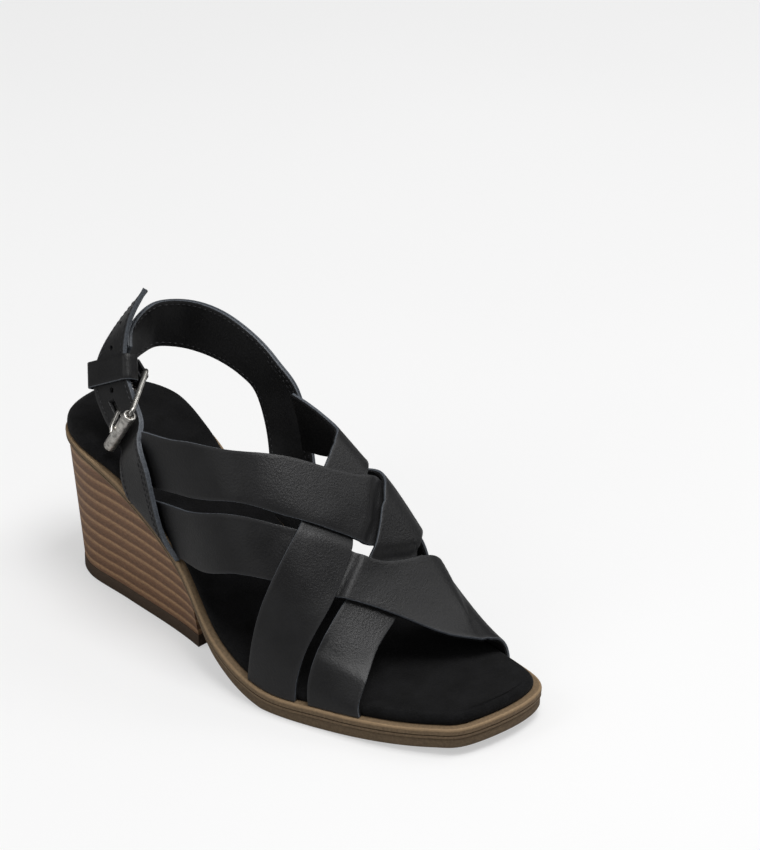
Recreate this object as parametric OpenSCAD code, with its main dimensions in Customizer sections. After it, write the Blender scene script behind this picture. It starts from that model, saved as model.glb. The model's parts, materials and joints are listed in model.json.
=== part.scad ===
// Woven wedge sandal, right foot.
// +Z is up, the toe points along -Y and the outer (buckle) side of the foot is -X.
// Stations along the sole are measured forward from the back of the heel.

/* [Sole] */
// Length of the sole from the back of the heel to the toe
sole_length = 243; // [215:1:270]
// Width of the sole across the ball of the foot
ball_width = 92.5; // [80:0.5:104]
// Height of the sole rim at the back of the heel
heel_height = 67; // [50:1:82]
// Height of the sole rim under the ball of the foot
platform = 9.5; // [8:0.5:16]
// Thickness of the welt, the upper layer of the rim
welt_t = 4.6; // [3:0.2:5]
// Ledge of the rim outside the footbed
ledge = 3.4; // [2.4:0.2:6]
// Thickness of the footbed at the heel
bed_heel_t = 7; // [5:0.5:10]
// Thickness of the footbed at the toe
bed_toe_t = 4.4; // [4:0.2:7]

/* [Heel] */
// Distance from the back of the rim to the back of the heel on the ground
heel_rake = 10; // [4:1:16]
// Distance from the back of the rim to the front face of the wedge
breast = 101; // [85:1:106]
// How far the wedge narrows on each side towards the ground
heel_taper = 4; // [2:0.5:7]
// Thickness of the top lift on the ground
lift_t = 6; // [4:0.5:9]
// Thickness of the stacked wrap around the wedge
wrap_t = 1.4; // [0.8:0.2:2.4]

/* [Straps] */
// Thickness of the outer leather
leather_t = 1.3; // [1:0.1:1.5]
// Thickness of the suede lining
lining_t = 0.8; // [0.6:0.1:0.9]
// Height of the upper above the rim at the instep
instep_rise = 84; // [74:1:92]

/* [Buckle] */
// Thickness of the buckle wire
wire_d = 2.2; // [1.8:0.1:2.6]
// Length of the roller, across the strap
roller_len = 24; // [23:0.5:28]
// Outside diameter of the roller
roller_d = 5.5; // [5:0.1:6]
// Distance between the rear bar and the roller
buckle_reach = 26; // [25:0.5:29]
// Width of the keeper loop along the strap
keeper_w = 11; // [8:0.5:13]

/* [Hidden] */

// Gap between layers that are cemented together, so that no two solids share space
seam = 0.05;
// Gap between long layers that follow the curve of the sole
layer_gap = 0.22;
// Clearance of a running fit on the radius
run_fit = 0.06;
strap_t = leather_t + seam + lining_t;

leather_colour = "#2b2b2d";
suede_colour = "#121212";
rim_colour = "#8a7355";
stack_colour = "#8a6a4c";
lift_colour = "#3a3025";
metal_colour = "#8d8b86";
elastic_colour = "#18181a";

// The outline is drawn about the line of the foot, and the whole stands centred on its own box
centre_x = 3.35;
module centred() {
    translate([centre_x, 0, 0]) children();
}

// ---- Curves ----

function blend(p0, p1, p2, p3, t) =
    0.5 * (2 * p1 + (p2 - p0) * t + (2 * p0 - 5 * p1 + 4 * p2 - p3) * t * t
    + (3 * p1 - p0 - 3 * p2 + p3) * t * t * t);

// A smooth curve through the values or points of p, at s from 0 to 1
function curve(p, s) =
    let (n = len(p) - 1, x = min(max(s, 0), 1) * n, i = min(floor(x), n - 1))
    let (before = i > 0 ? p[i - 1] : 2 * p[0] - p[1])
    let (after = i < n - 1 ? p[i + 2] : 2 * p[n] - p[n - 1])
    blend(before, p[i], p[i + 1], after, x - i);

function unit(v) = v / norm(v);
function mix(a, b, t) = a + (b - a) * t;
function tanh(x) = (exp(x) - exp(-x)) / (exp(x) + exp(-x));

// ---- Sole outline and profile ----

base_length = 243;
base_width = 92.5;
length_share = sole_length / base_length;
width_share = ball_width / base_width;
// The outline runs from the back of the heel along the outer side to the toe and back along
// the inner side: distance from the heel, then distance across
OUTLINE = [
    [0, 1], [6, -20], [25.5, -31], [57, -34], [92.5, -38], [126, -47], [156, -49.5],
    [186, -42.5], [209.5, -34.5], [227.5, -25], [238, -15.5], [242.8, 6], [241.5, 23.5],
    [234.5, 32.5], [217.5, 38], [191.5, 42.5], [170.5, 43], [139.5, 38.5], [107, 22.5],
    [78, 19], [51, 24.5], [26, 27], [4.5, 19.5]
];
outline_steps = 7;
shape = [
    for (i = [0:len(OUTLINE) - 1], k = [0:outline_steps - 1])
        let (n = len(OUTLINE))
        let (p = blend(OUTLINE[(i + n - 1) % n], OUTLINE[i], OUTLINE[(i + 1) % n],
            OUTLINE[(i + 2) % n], k / outline_steps))
        [p[0] * length_share, p[1] * width_share]
];
shape_inward = [
    for (i = [0:len(shape) - 1])
        let (n = len(shape), t = unit(shape[(i + 1) % n] - shape[(i + n - 1) % n]))
        [-t[1], t[0]]
];

// Ledge outside the footbed: almost none around the heel, full width from the waist forward
heel_ledge = 0.8;
function ease(t) = let (x = min(max(t, 0), 1)) x * x * (3 - 2 * x);
function ledge_at(u) = mix(heel_ledge, ledge, ease((u / length_share - 18) / 52));

// The two sides of the outline moved inward by e, and by the ledge too for the footbed:
// outer side, inner side, first and last station
function sides(e, bed = false) =
    let (inset = [for (q = shape) e + (bed ? ledge_at(q[0]) : 0)])
    let (p = [for (i = [0:len(shape) - 1]) shape[i] + inset[i] * shape_inward[i]], n = len(p))
    let (u = [for (q = p) q[0]], a = search(min(u), u)[0], b = search(max(u), u)[0])
    [
        [for (k = [0:(b - a + n) % n]) p[(a + k) % n]],
        [for (k = [0:(a - b + n) % n]) p[(a - k + n) % n]],
        min(u),
        max(u)
    ];

// Heights every eighth of the sole, from the heel to the toe
lift_share = (heel_height - platform) / 57.5;
rim_rise = [57.5, 56, 47.5, 32.5, 9.5, 0, 0, 1.5, 4];
sole_t = [3.6, 4, 4.3, 5, 8, 9.2, 9.4, 9.2, 9.2];
thick_share = platform / 9.5;

function along(u) = u / sole_length;
function rim(u) = platform + curve(rim_rise, along(u)) * (along(u) < 0.7 ? lift_share : 1);
function under(u) = max(0, rim(u) - curve(sole_t, along(u)) * thick_share);
function welt_bottom(u) = max(rim(u) - welt_t, under(u) + 0.3);
function bed_t(u) = mix(bed_heel_t, bed_toe_t, min(1, along(u) * 1.6));

// Stations of a layer as shares of its length, closer together towards the rounded ends
end_share = 0.1;
end_steps = 7;
mid_steps = 26;
layer_share = concat(
    [for (i = [0:end_steps - 1]) end_share * pow((i + 0.25) / (end_steps + 0.25), 2)],
    [for (i = [0:mid_steps]) mix(end_share, 1 - end_share, i / mid_steps)],
    [for (i = [end_steps - 1:-1:0]) 1 - end_share * pow((i + 0.25) / (end_steps + 0.25), 2)]
);

// A layer of the sole. Each ring, from the bottom up, is [inset from the outline, height at u]
module layer(rings, from = -1, bed = false) {
    count = len(rings);
    steps = len(layer_share) - 1;
    sets = [for (r = rings) sides(r[0], bed)];
    points = [
        for (i = [0:steps], side = [0, 1], k = [0:count - 1])
            let (low = from < 0 ? sets[k][2] : from)
            let (u = mix(low, sets[k][3], layer_share[i]))
            [lookup(u, sets[k][side]), sole_length / 2 - u, rings[k][1](u)]
    ];
    ring_mesh(points, steps, count);
}

// A closed mesh of stations: each has count points up the outer side, then as many up the inner
module ring_mesh(points, steps, count) {
    function o(i, k) = i * 2 * count + k;
    function n(i, k) = i * 2 * count + count + k;
    quads = concat(
        [for (i = [0:steps - 1], k = [0:count - 2])
            [o(i, k), o(i, k + 1), o(i + 1, k + 1), o(i + 1, k)]],
        [for (i = [0:steps - 1], k = [0:count - 2])
            [n(i, k), n(i + 1, k), n(i + 1, k + 1), n(i, k + 1)]],
        [for (i = [0:steps - 1]) [o(i, 0), o(i + 1, 0), n(i + 1, 0), n(i, 0)]],
        [for (i = [0:steps - 1])
            [o(i, count - 1), n(i, count - 1), n(i + 1, count - 1), o(i + 1, count - 1)]],
        [for (k = [0:count - 2]) [o(0, k), n(0, k), n(0, k + 1), o(0, k + 1)]],
        [for (k = [0:count - 2])
            [o(steps, k), o(steps, k + 1), n(steps, k + 1), n(steps, k)]]
    );
    polyhedron(points, [for (q = quads, t = [[0, 1, 2], [0, 2, 3]]) [for (j = t) q[j]]]);
}

// ---- Wedge heel ----

// Below 1, the back corners of the heel are squarer on the ground than at the sole
heel_square = 0.8;

// The wedge between the lift and the sole, moved inward by e and made taller by extra
module wedge(e, extra, steps = 20) {
    top = sides(2.2 + e);
    foot = sides(2.2 + heel_taper + e);
    levels = [0, 0.5, 1];
    points = [
        for (i = [0:steps], side = [0, 1], t = levels)
            let (share = 1 - cos(90 * (0.35 + i * (steps - 0.35) / steps) / steps))
            let (u_top = mix(top[2], breast + 3 - e, share))
            let (u_foot = mix(heel_rake + e, breast - e, share))
            let (u_side = mix(foot[2], breast - e, pow(share, heel_square)))
            let (z_top = under(u_top) - layer_gap + extra, z_foot = lift_t + seam - extra)
            [
                mix(lookup(u_side, foot[side]), lookup(u_top, top[side]), t),
                sole_length / 2 - mix(u_foot, u_top, t),
                mix(z_foot, z_top, t)
            ]
    ];
    ring_mesh(points, steps, len(levels));
}

module top_lift() {
    color(lift_colour) centred()
        difference() {
            lift_body();
            at_heel(nail_places) translate([0, 0, -1]) cylinder(d = nail_d, h = lift_t + 2, $fn = 16);
        }
}

module lift_body(steps = 20) {
    foot = sides(2.2 + heel_taper);
    points = [
        for (i = [0:steps], side = [0, 1], z = [0, lift_t])
            let (share = 1 - cos(90 * (0.35 + i * (steps - 0.35) / steps) / steps))
            let (u_side = mix(foot[2], breast, pow(share, heel_square)))
            [
                lookup(u_side, foot[side]),
                sole_length / 2 - mix(heel_rake, breast, share),
                z
            ]
    ];
    ring_mesh(points, steps, 2);
}

// Screws through the board into the wedge, and nails through the lift
screw_d = 4;
screw_len = 26;
screw_head_d = 6;
nail_d = 2;
nail_len = 16;
screw_places = [[22, -12], [22, 12], [38, -15], [38, 13]];
nail_places = [[24, -14], [24, 10], [80, -16], [80, 8]];

module at_heel(places) {
    for (p = places)
        translate([p[1], sole_length / 2 - p[0], 0]) children();
}

module screw_shafts(extra) {
    for (p = screw_places)
        translate([p[1], sole_length / 2 - p[0], rim(p[0]) - screw_len])
            cylinder(d = screw_d + 2 * extra, h = screw_len + 1, $fn = 16);
}

module screw_heads(extra) {
    for (p = screw_places)
        translate([p[1], sole_length / 2 - p[0], rim(p[0]) + 0.7 - extra])
            cylinder(d = screw_head_d + 2 * extra, h = 0.9 + 2 * extra, $fn = 20);
}

module wedge_core() {
    color(stack_colour) centred()
        difference() {
            wedge(wrap_t + 0.2, 0);
            screw_shafts(seam);
            at_heel(nail_places) cylinder(d = nail_d + 2 * seam, h = nail_len + seam, $fn = 16);
        }
}

module heel_wrap() {
    color(stack_colour) centred()
        difference() {
            wedge(0, 0);
            wedge(wrap_t, 1);
        }
}

module heel_screws() {
    color(metal_colour) centred() {
        screw_shafts(0);
        screw_heads(0);
    }
}

module lift_nails() {
    color(metal_colour) centred()
        at_heel(nail_places) translate([0, 0, 1]) cylinder(d = nail_d, h = nail_len - 1, $fn = 16);
}

// ---- Sole layers ----

board_t = 2.4;
board_inset = 1.4;
shank_w = 13;
shank_t = 1.2;
shank_x = -2;
shank_from = 42;
shank_to = 138;
rivet_d = 4;
rivet_places = [50, 130];

// A strip along the sole that follows the rim, from below it to above it
module strip(width, below, above, from, to, steps = 16) {
    points = [
        for (i = [0:steps], x = [-width / 2, width / 2], h = [below, above])
            let (u = mix(from, to, i / steps))
            [shank_x + x, sole_length / 2 - u, rim(u) + h]
    ];
    ring_mesh(points, steps, 2);
}

module outsole() {
    color(rim_colour) centred()
        layer([
            [1.6, function (u) under(u)],
            [0.5, function (u) min(under(u) + 1, welt_bottom(u) - seam)],
            [0.5, function (u) max(welt_bottom(u) - 0.8, under(u) + 0.15)],
            [1, function (u) welt_bottom(u) - seam]
        ], from = breast + 3.2);
}

module welt() {
    color(rim_colour) centred()
        difference() {
            layer([
                [0.8, function (u) welt_bottom(u)],
                [0, function (u) mix(welt_bottom(u), rim(u), 0.22)],
                [0, function (u) rim(u) - 0.7],
                [0.7, function (u) rim(u)]
            ]);
            strip(shank_w + 2 * seam, -shank_t - 0.6, 1, shank_from - 1, shank_to + 1);
            screw_shafts(0.3);
        }
}

module insole_board() {
    color("#9a8a70") centred()
        difference() {
            layer([
                [board_inset, function (u) rim(u) + layer_gap],
                [board_inset, function (u) rim(u) + board_t]
            ], bed = true);
            screw_shafts(seam);
            screw_heads(seam);
            rivets(seam, 1);
        }
}

module steel_shank() {
    color(metal_colour) centred()
        difference() {
            strip(shank_w, -shank_t - 0.2, -0.2, shank_from, shank_to);
            rivets(seam, 1);
            screw_shafts(0.3);
        }
}

module rivets(extra, over) {
    for (u = rivet_places)
        translate([shank_x, sole_length / 2 - u, rim(u) - shank_t - over])
            cylinder(d = rivet_d + 2 * extra, h = shank_t + board_t + 2 * over, $fn = 16);
}

module shank_rivets() {
    color(metal_colour) centred() rivets(0, -0.5);
}

module footbed_foam() {
    color("#2a2a2a") centred()
        layer([
            [board_inset, function (u) rim(u) + board_t + layer_gap],
            [board_inset, function (u) rim(u) + bed_t(u) - 1.6],
            [board_inset + 1.4, function (u) rim(u) + bed_t(u) - 1.15]
        ], bed = true);
}

module footbed_cover() {
    color(suede_colour) centred()
        difference() {
            layer([
                [0.1, function (u) rim(u) + layer_gap],
                [0, function (u) rim(u) + bed_t(u) * 0.4],
                [0.5, function (u) rim(u) + bed_t(u) * 0.8],
                [2.2, function (u) rim(u) + bed_t(u)]
            ], bed = true);
            layer([
                [board_inset - layer_gap, function (u) rim(u) - 1],
                [board_inset - layer_gap, function (u) rim(u) + bed_t(u) - 1.5],
                [board_inset + 1.3, function (u) rim(u) + bed_t(u) - 1]
            ], bed = true);
        }
}

// ---- Form of the foot ----

// Shape of the foot above the rim at stations 25 mm apart from the first: how far out the outer
// and the inner wall stand, where the crest is, and how high it is as a share of the instep
form_first = 50;
form_pitch = 25;
FORM = [
    [-33, 28, -2, 0.95], [-34, 29, 0, 1], [-37, 30, 3, 1.04], [-44, 34, 10, 1],
    [-46, 39, 18, 0.79], [-42, 40, 24, 0.44], [-36, 38, 27, 0.185], [-28, 34, 28, 0.07]
];
form_power = 2 / 2.2;
form_sides = sides(-0.2, true);

// Point of the form at station u and turn a, from 0 at the outer rim to 1 at the inner rim
function form_at(u, a) =
    let (row = curve(FORM, (u / length_share - form_first) / form_pitch / (len(FORM) - 1)))
    let (reach = pow(abs(cos(180 * a)), form_power), rise = pow(abs(sin(180 * a)), form_power))
    let (side = a < 0.5 ? 0 : 1, base = lookup(u, form_sides[side]))
    let (wall = mix(base, row[side] * width_share, sin(90 * min(1, rise / 0.8))))
    let (crest = row[2] * width_share)
    [crest + reach * (wall - crest), sole_length / 2 - u,
        rim(u) + 0.3 + row[3] * instep_rise * rise];

// Girth tables: share of the way around the form against turn, every girth_pitch
girth_pitch = 12.5 * length_share;
girth_first = form_first * length_share;
girth_steps = 40;
function girth_table(u) =
    let (p = [for (k = [0:girth_steps]) form_at(u, k / girth_steps)])
    let (d = [for (k = [1:girth_steps]) norm(p[k] - p[k - 1])], total = sum(d))
    concat([[0, 0]], [for (k = 0, t = d[0]; k < girth_steps; k = k + 1,
        t = t + (k < girth_steps ? d[k] : 0)) [t / total, (k + 1) / girth_steps]]);
function sum(v) = v * [for (x = v) 1];
GIRTH = [for (i = [0:14]) girth_table(girth_first + i * girth_pitch)];

// Point of the form at station u and share g of the way around it
function form_point(u, g) =
    let (x = min(max((u - girth_first) / girth_pitch, 0), 13.999), i = floor(x))
    form_at(u, mix(lookup(g, GIRTH[i]), lookup(g, GIRTH[i + 1]), x - i));

function form_normal(u, g) =
    let (low = max(g - 0.01, 0), high = min(g + 0.01, 1))
    unit(cross(form_point(u + 1, g) - form_point(u - 1, g),
        form_point(u, high) - form_point(u, low)));

// ---- Woven vamp ----

// Each strap is a list of pairs [rear edge, front edge], each edge [station, share of girth]
STRAP_OUTER_REAR = [
    [[68, 0.19], [72, 0.075]], [[88, 0.25], [96, 0.167]], [[110, 0.345], [121.5, 0.295]],
    [[128, 0.435], [142, 0.37]], [[142, 0.52], [156, 0.445]], [[149, 0.62], [164.5, 0.535]],
    [[147, 0.74], [165, 0.71]], [[147, 0.87], [166, 0.86]], [[147, 1], [167, 1]]
];
STRAP_OUTER_FRONT = [
    [[75, 0.055], [92.5, 0]], [[97, 0.14], [108, 0.075]], [[120, 0.262], [131, 0.187]],
    [[143, 0.352], [153, 0.265]], [[156.5, 0.42], [169, 0.34]], [[168, 0.505], [184, 0.445]],
    [[173, 0.65], [199, 0.59]], [[176, 0.81], [209, 0.77]], [[178, 1], [213, 1]]
];
STRAP_INNER_REAR = [
    [[100, 0.685], [104, 0.8]], [[113, 0.645], [118, 0.745]], [[127, 0.61], [133, 0.675]],
    [[135, 0.555], [146, 0.6]], [[141, 0.48], [155, 0.52]], [[146, 0.385], [162, 0.43]],
    [[148, 0.27], [168, 0.3]], [[147.5, 0.13], [169.5, 0.15]], [[146, 0], [170, 0]]
];
STRAP_INNER_FRONT = [
    [[107.5, 0.84], [114.5, 0.945]], [[118, 0.785], [128, 0.87]], [[133, 0.71], [147, 0.785]],
    [[148, 0.635], [164, 0.7]], [[160, 0.555], [176, 0.59]], [[168, 0.45], [184, 0.465]],
    [[171, 0.31], [188.5, 0.31]], [[173.5, 0.15], [194.5, 0.15]], [[176, 0], [198.5, 0]]
];

// The weave: which straps lie on top changes sign across the lines between each pair of straps
weave_rise = leather_t + lining_t - 0.3;
weave_blend = 1.3;
weave_reach = 62;
weave_centre = [164, 0.46];
OUTER_SPLIT = [[118, 0.272], [140, 0.357], [149, 0.388], [155, 0.425], [160.5, 0.465], [166.5, 0.522],
    [170, 0.63], [171.5, 0.75]];
INNER_SPLIT = [[118, 0.77], [132, 0.695], [147, 0.62], [158, 0.54], [164.5, 0.44], [170, 0.30],
    [174, 0.17]];

// +1 where the straps from the outer side lie on top, -1 where those from the inner side do
function weave(u, g) =
    let (girth = 150, v = u / length_share)
    let (from_outer = (g - lookup(v, OUTER_SPLIT)) * girth * 0.72)
    let (from_inner = (lookup(v, INNER_SPLIT) - g) * girth * 0.72)
    let (away = norm([v - weave_centre[0], (g - weave_centre[1]) * girth]))
    tanh(from_outer / weave_blend) * tanh(from_inner / weave_blend)
        * exp(-pow(away / weave_reach, 8));

function vamp_grid(pairs, top, steps, across) = [
    for (i = [0:steps]) [
        for (j = [0:across])
            let (s = i / steps, w = j / across)
            let (rear = curve([for (p = pairs) p[0]], s), front = curve([for (p = pairs) p[1]], s))
            let (q = mix(rear, front, w), u = q[0] * length_share, g = min(max(q[1], 0), 1))
            let (fade = rim_fade(g), n0 = form_normal(u, g), n = unit([n0[0], n0[1], n0[2] * fade]))
            let (lift = weave_rise * (1 + top * weave(u, g)) * min(fade, 0.03 + 3 * s, 1))
            [form_point(u, g) + n * lift, n]
    ]
];

// Straps come down flat against the footbed at the rim
function rim_fade(g) = min(1, min(g, 1 - g) * 12);

// A sheet between two heights above a grid of [point, normal]
module sheet(grid, low, high) {
    rows = len(grid);
    cols = len(grid[0]);
    points = concat(
        [for (r = grid, q = r) q[0] + q[1] * low],
        [for (r = grid, q = r) q[0] + q[1] * high]
    );
    turn = cross(grid[1][0][0] - grid[0][0][0], grid[0][1][0] - grid[0][0][0]) * grid[0][0][1];
    near = turn > 0 ? 0 : rows * cols;
    far = rows * cols - near;
    function a(i, j) = near + i * cols + j;
    function b(i, j) = far + i * cols + j;
    quads = concat(
        [for (i = [0:rows - 2], j = [0:cols - 2]) [a(i, j), a(i + 1, j), a(i + 1, j + 1), a(i, j + 1)]],
        [for (i = [0:rows - 2], j = [0:cols - 2]) [b(i, j), b(i, j + 1), b(i + 1, j + 1), b(i + 1, j)]],
        [for (i = [0:rows - 2]) [a(i, 0), b(i, 0), b(i + 1, 0), a(i + 1, 0)]],
        [for (i = [0:rows - 2]) [a(i, cols - 1), a(i + 1, cols - 1), b(i + 1, cols - 1), b(i, cols - 1)]],
        [for (j = [0:cols - 2]) [a(0, j), a(0, j + 1), b(0, j + 1), b(0, j)]],
        [for (j = [0:cols - 2]) [a(rows - 1, j), b(rows - 1, j), b(rows - 1, j + 1), a(rows - 1, j + 1)]]
    );
    polyhedron(points, [for (q = quads, t = [[0, 1, 2], [0, 2, 3]]) [for (k = t) q[k]]]);
}

module leather(grid) {
    color(leather_colour) centred() sheet(grid, lining_t + seam, strap_t);
}

module lining(grid) {
    color(suede_colour) centred() sheet(grid, 0, lining_t);
}

vamp_steps = 40;

module strap_outer_rear() { leather(vamp_grid(STRAP_OUTER_REAR, 1, vamp_steps, 5)); }
module strap_outer_front() { leather(vamp_grid(STRAP_OUTER_FRONT, 1, vamp_steps, 5)); }
module strap_inner_rear() { leather(vamp_grid(STRAP_INNER_REAR, -1, vamp_steps, 5)); }
module strap_inner_front() { leather(vamp_grid(STRAP_INNER_FRONT, -1, vamp_steps, 5)); }
module lining_outer_rear() { lining(vamp_grid(STRAP_OUTER_REAR, 1, vamp_steps, 5)); }
module lining_outer_front() { lining(vamp_grid(STRAP_OUTER_FRONT, 1, vamp_steps, 5)); }
module lining_inner_rear() { lining(vamp_grid(STRAP_INNER_REAR, -1, vamp_steps, 5)); }
module lining_inner_front() { lining(vamp_grid(STRAP_INNER_FRONT, -1, vamp_steps, 5)); }

// ---- Sling ----

// Pairs [upper edge, lower edge], each edge [across, station, height]
BILLET = [
    [[-36.6, 94, 38.5], [-32.2, 64, 55]], [[-37.7, 87, 49], [-33.6, 62.5, 57]],
    [[-37.6, 82, 62], [-34.5, 61, 61]], [[-36.8, 77, 76], [-34, 58.5, 66]],
    [[-33.9, 69.5, 86], [-31.4, 55.5, 70.5]], [[-25.2, 61.5, 90.5], [-25.7, 49.5, 73.5]],
    [[-20.5, 51.5, 97.5], [-24.5, 38, 83]], [[-16.5, 43, 104], [-21, 28.5, 91.5]],
    [[-12, 38, 112.5], [-15.5, 24.5, 100.5]], [[-8, 38, 124], [-6, 24.5, 111.5]],
    [[-3, 42, 137], [8, 30, 128]]
];
HEEL_STRAP = [
    [[23.6, 113, 25], [17.8, 88, 43.5]], [[30, 109, 48], [23, 87, 56]],
    [[32.6, 104, 72], [27, 84, 66]], [[33, 96, 95], [29.5, 79, 78]],
    [[31, 86, 106.5], [30, 73, 89]], [[30, 75, 114], [29, 65, 94]],
    [[28, 61, 120], [27.5, 56, 97]], [[26, 48, 122], [25.5, 46, 98.5]],
    [[22.5, 36, 121.5], [21, 36, 99.5]], [[15, 28, 120.5], [13, 28, 100]],
    [[6, 27.5, 119], [4, 27, 99]], [[-3, 29.5, 115], [-6, 27, 95]],
    [[-8, 34, 109.5], [-11.5, 27.5, 90.5]]
];

// Height at which the middle of a strap's foot lies above the rim, so that its thickness clears it
sling_seat = (leather_t + lining_t) * 0.453;

function sling_point(pairs, s, w) =
    let (upper = curve([for (p = pairs) p[0]], s), lower = curve([for (p = pairs) p[1]], s))
    let (q = mix(upper, lower, w))
    let (foot = mix(pairs[0][0], pairs[0][1], w), seat = rim_base(foot[1]) + sling_seat - foot[2])
    [q[0] * width_share, sole_length / 2 - q[1] * length_share,
        rim(q[1] * length_share) + q[2] - rim_base(q[1]) + seat * max(0, 1 - 6 * s)];
function rim_base(v) = 9.5 + curve(rim_rise, v / base_length);

function sling_grid(pairs, steps, across) = [
    for (i = [0:steps]) [
        for (j = [0:across])
            let (s = i / steps, w = j / across, e = 0.004)
            let (ds = sling_point(pairs, min(s + e, 1), w) - sling_point(pairs, max(s - e, 0), w))
            let (dw = sling_point(pairs, s, 1) - sling_point(pairs, s, 0))
            let (n = unit(cross(ds, dw)))
            [sling_point(pairs, s, w), unit([n[0], n[1], n[2] * min(1, 8 * s)])]
    ]
];

module billet_strap() {
    difference() {
        leather(sling_grid(BILLET, 44, 4));
        billet_holes();
    }
}

module billet_lining() {
    difference() {
        lining(sling_grid(BILLET, 44, 4));
        billet_holes();
    }
}

module heel_strap() { leather(sling_grid(HEEL_STRAP, 48, 4)); }
module heel_strap_lining() { lining(sling_grid(HEEL_STRAP, 48, 4)); }

// ---- Buckle ----

// The buckle's own frame: x along the rear bar, y towards the roller, z outward
bar_at = [-8.9, sole_length / 2 - 39 * length_share, 92.3 + rim(39 * length_share) - rim_base(39)];
bar_x = unit([-0.01, 0.555, -0.831]);
bar_y0 = [-0.812, -0.487, -0.318];
bar_y = unit(bar_y0 - bar_x * (bar_y0 * bar_x));
bar_z = cross(bar_x, bar_y);

module at_buckle() {
    multmatrix([
        [bar_x[0], bar_y[0], bar_z[0], bar_at[0]],
        [bar_x[1], bar_y[1], bar_z[1], bar_at[1]],
        [bar_x[2], bar_y[2], bar_z[2], bar_at[2]],
        [0, 0, 0, 1]
    ]) children();
}

corner_r = 2.6;
frame_gap = 0.4;
frame_half = roller_len / 2 + wire_d / 2 + frame_gap;

module wire(length) {
    cylinder(d = wire_d, h = length, $fn = 24);
}

module buckle_frame() {
    rail = buckle_reach - 2 * corner_r;
    bar = 2 * frame_half - 2 * corner_r;
    color(metal_colour) centred()
        at_buckle() {
            for (y = [0, buckle_reach])
                translate([-bar / 2, y, 0]) rotate([0, 90, 0]) wire(bar);
            for (x = [-frame_half, frame_half])
                translate([x, corner_r, 0]) rotate([-90, 0, 0]) wire(rail);
            for (x = [-1, 1], y = [0, 1])
                translate([x * bar / 2, y == 0 ? corner_r : buckle_reach - corner_r, 0])
                    rotate([0, 0, x > 0 ? (y == 0 ? -90 : 0) : (y == 0 ? 180 : 90)])
                        rotate_extrude(angle = 90, $fn = 48)
                            translate([corner_r, 0]) circle(d = wire_d, $fn = 24);
        }
}

// The roller is a tube whose wall shows at its mouths
roller_wall = 0.7;
mouth_depth = 3;

module buckle_roller() {
    color(metal_colour) centred()
        at_buckle() translate([-roller_len / 2, buckle_reach, 0]) rotate([0, 90, 0])
            difference() {
                cylinder(d = roller_d, h = roller_len, $fn = 40);
                translate([0, 0, -1])
                    cylinder(d = wire_d + 2 * run_fit, h = roller_len + 2, $fn = 32);
                for (z = [-1, roller_len - mouth_depth])
                    translate([0, 0, z])
                        cylinder(d = roller_d - 2 * roller_wall, h = mouth_depth + 1, $fn = 32);
            }
}

prong_d = 1.9;
prong_gap = 0.15;
prong_reach = 3.2;
eye_r = wire_d / 2 + run_fit + prong_d / 2;

module buckle_prong() {
    rise = (roller_d + prong_d) / 2 + prong_gap;
    tilt = asin((rise - eye_r) / buckle_reach);
    color(metal_colour) centred()
        at_buckle() {
            rotate([0, 90, 0]) rotate_extrude($fn = 40) translate([eye_r, 0]) circle(d = prong_d, $fn = 20);
            translate([0, 0, eye_r]) rotate([-90 + tilt, 0, 0])
                cylinder(d = prong_d, h = buckle_reach + prong_reach, $fn = 20);
        }
}

// Slot for the prong, and the punched holes past it along the billet
hole_d = 2.6;
hole_places = [0.66, 0.82, 0.9];
slot_w = prong_d + 1.5;
slot_len = 8.5;
slot_from = 12.5;
slot_depth = 18;

module billet_holes() {
    centred() at_buckle()
        translate([-slot_w / 2, slot_from, -slot_depth / 2]) cube([slot_w, slot_len, slot_depth]);
    for (s = hole_places) {
        p = sling_point(BILLET, s, 0.5);
        along_strap = sling_point(BILLET, s + 0.02, 0.5) - sling_point(BILLET, s - 0.02, 0.5);
        out = unit(cross(along_strap, sling_point(BILLET, s, 1) - sling_point(BILLET, s, 0)));
        centred() multmatrix([
            [1, 0, out[0], p[0]],
            [0, 1, out[1], p[1]],
            [0, 0, out[2], p[2]],
            [0, 0, 0, 1]
        ]) translate([0, 0, -4]) cylinder(d = hole_d, h = 9, $fn = 16);
    }
}

// ---- Elastic and keeper ----

gore_w = 19;
gore_t = 1.1;
gore_tail = 7.4;
gore_fit = 0.1;
// Turn of the fold on the bar, outward to the end of the heel strap that it is sewn to
gore_turn = 48;
// Cut-out of the fold that the eye of the prong turns in
eye_cut_w = prong_d + 2.9;
eye_cut_back = 3.4;
eye_cut_front = 5.6;

module elastic_gore() {
    inner_r = wire_d / 2 + gore_fit;
    color(elastic_colour) centred()
        at_buckle() rotate([-gore_turn, 0, 0]) rotate([0, 90, 0])
            difference() {
                translate([0, 0, -gore_w / 2]) linear_extrude(gore_w)
                    difference() {
                        union() {
                            circle(r = inner_r + gore_t, $fn = 40);
                            translate([-gore_t - gore_fit, -gore_tail])
                                square([2 * (gore_t + gore_fit), gore_tail]);
                        }
                        circle(r = inner_r, $fn = 40);
                        translate([-gore_fit, -gore_tail - 1]) square([2 * gore_fit, gore_tail + 1]);
                    }
                translate([-5, -eye_cut_back, -eye_cut_w / 2])
                    cube([10, eye_cut_back + eye_cut_front, eye_cut_w]);
            }
}

// Place along the billet, and the opening of the loop around billet and lining
keeper_place = 0.735;
keeper_wall = 1.2;
keeper_round = 0.8;
keeper_core = [22, 4];
keeper_lift = 0.4;

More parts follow.
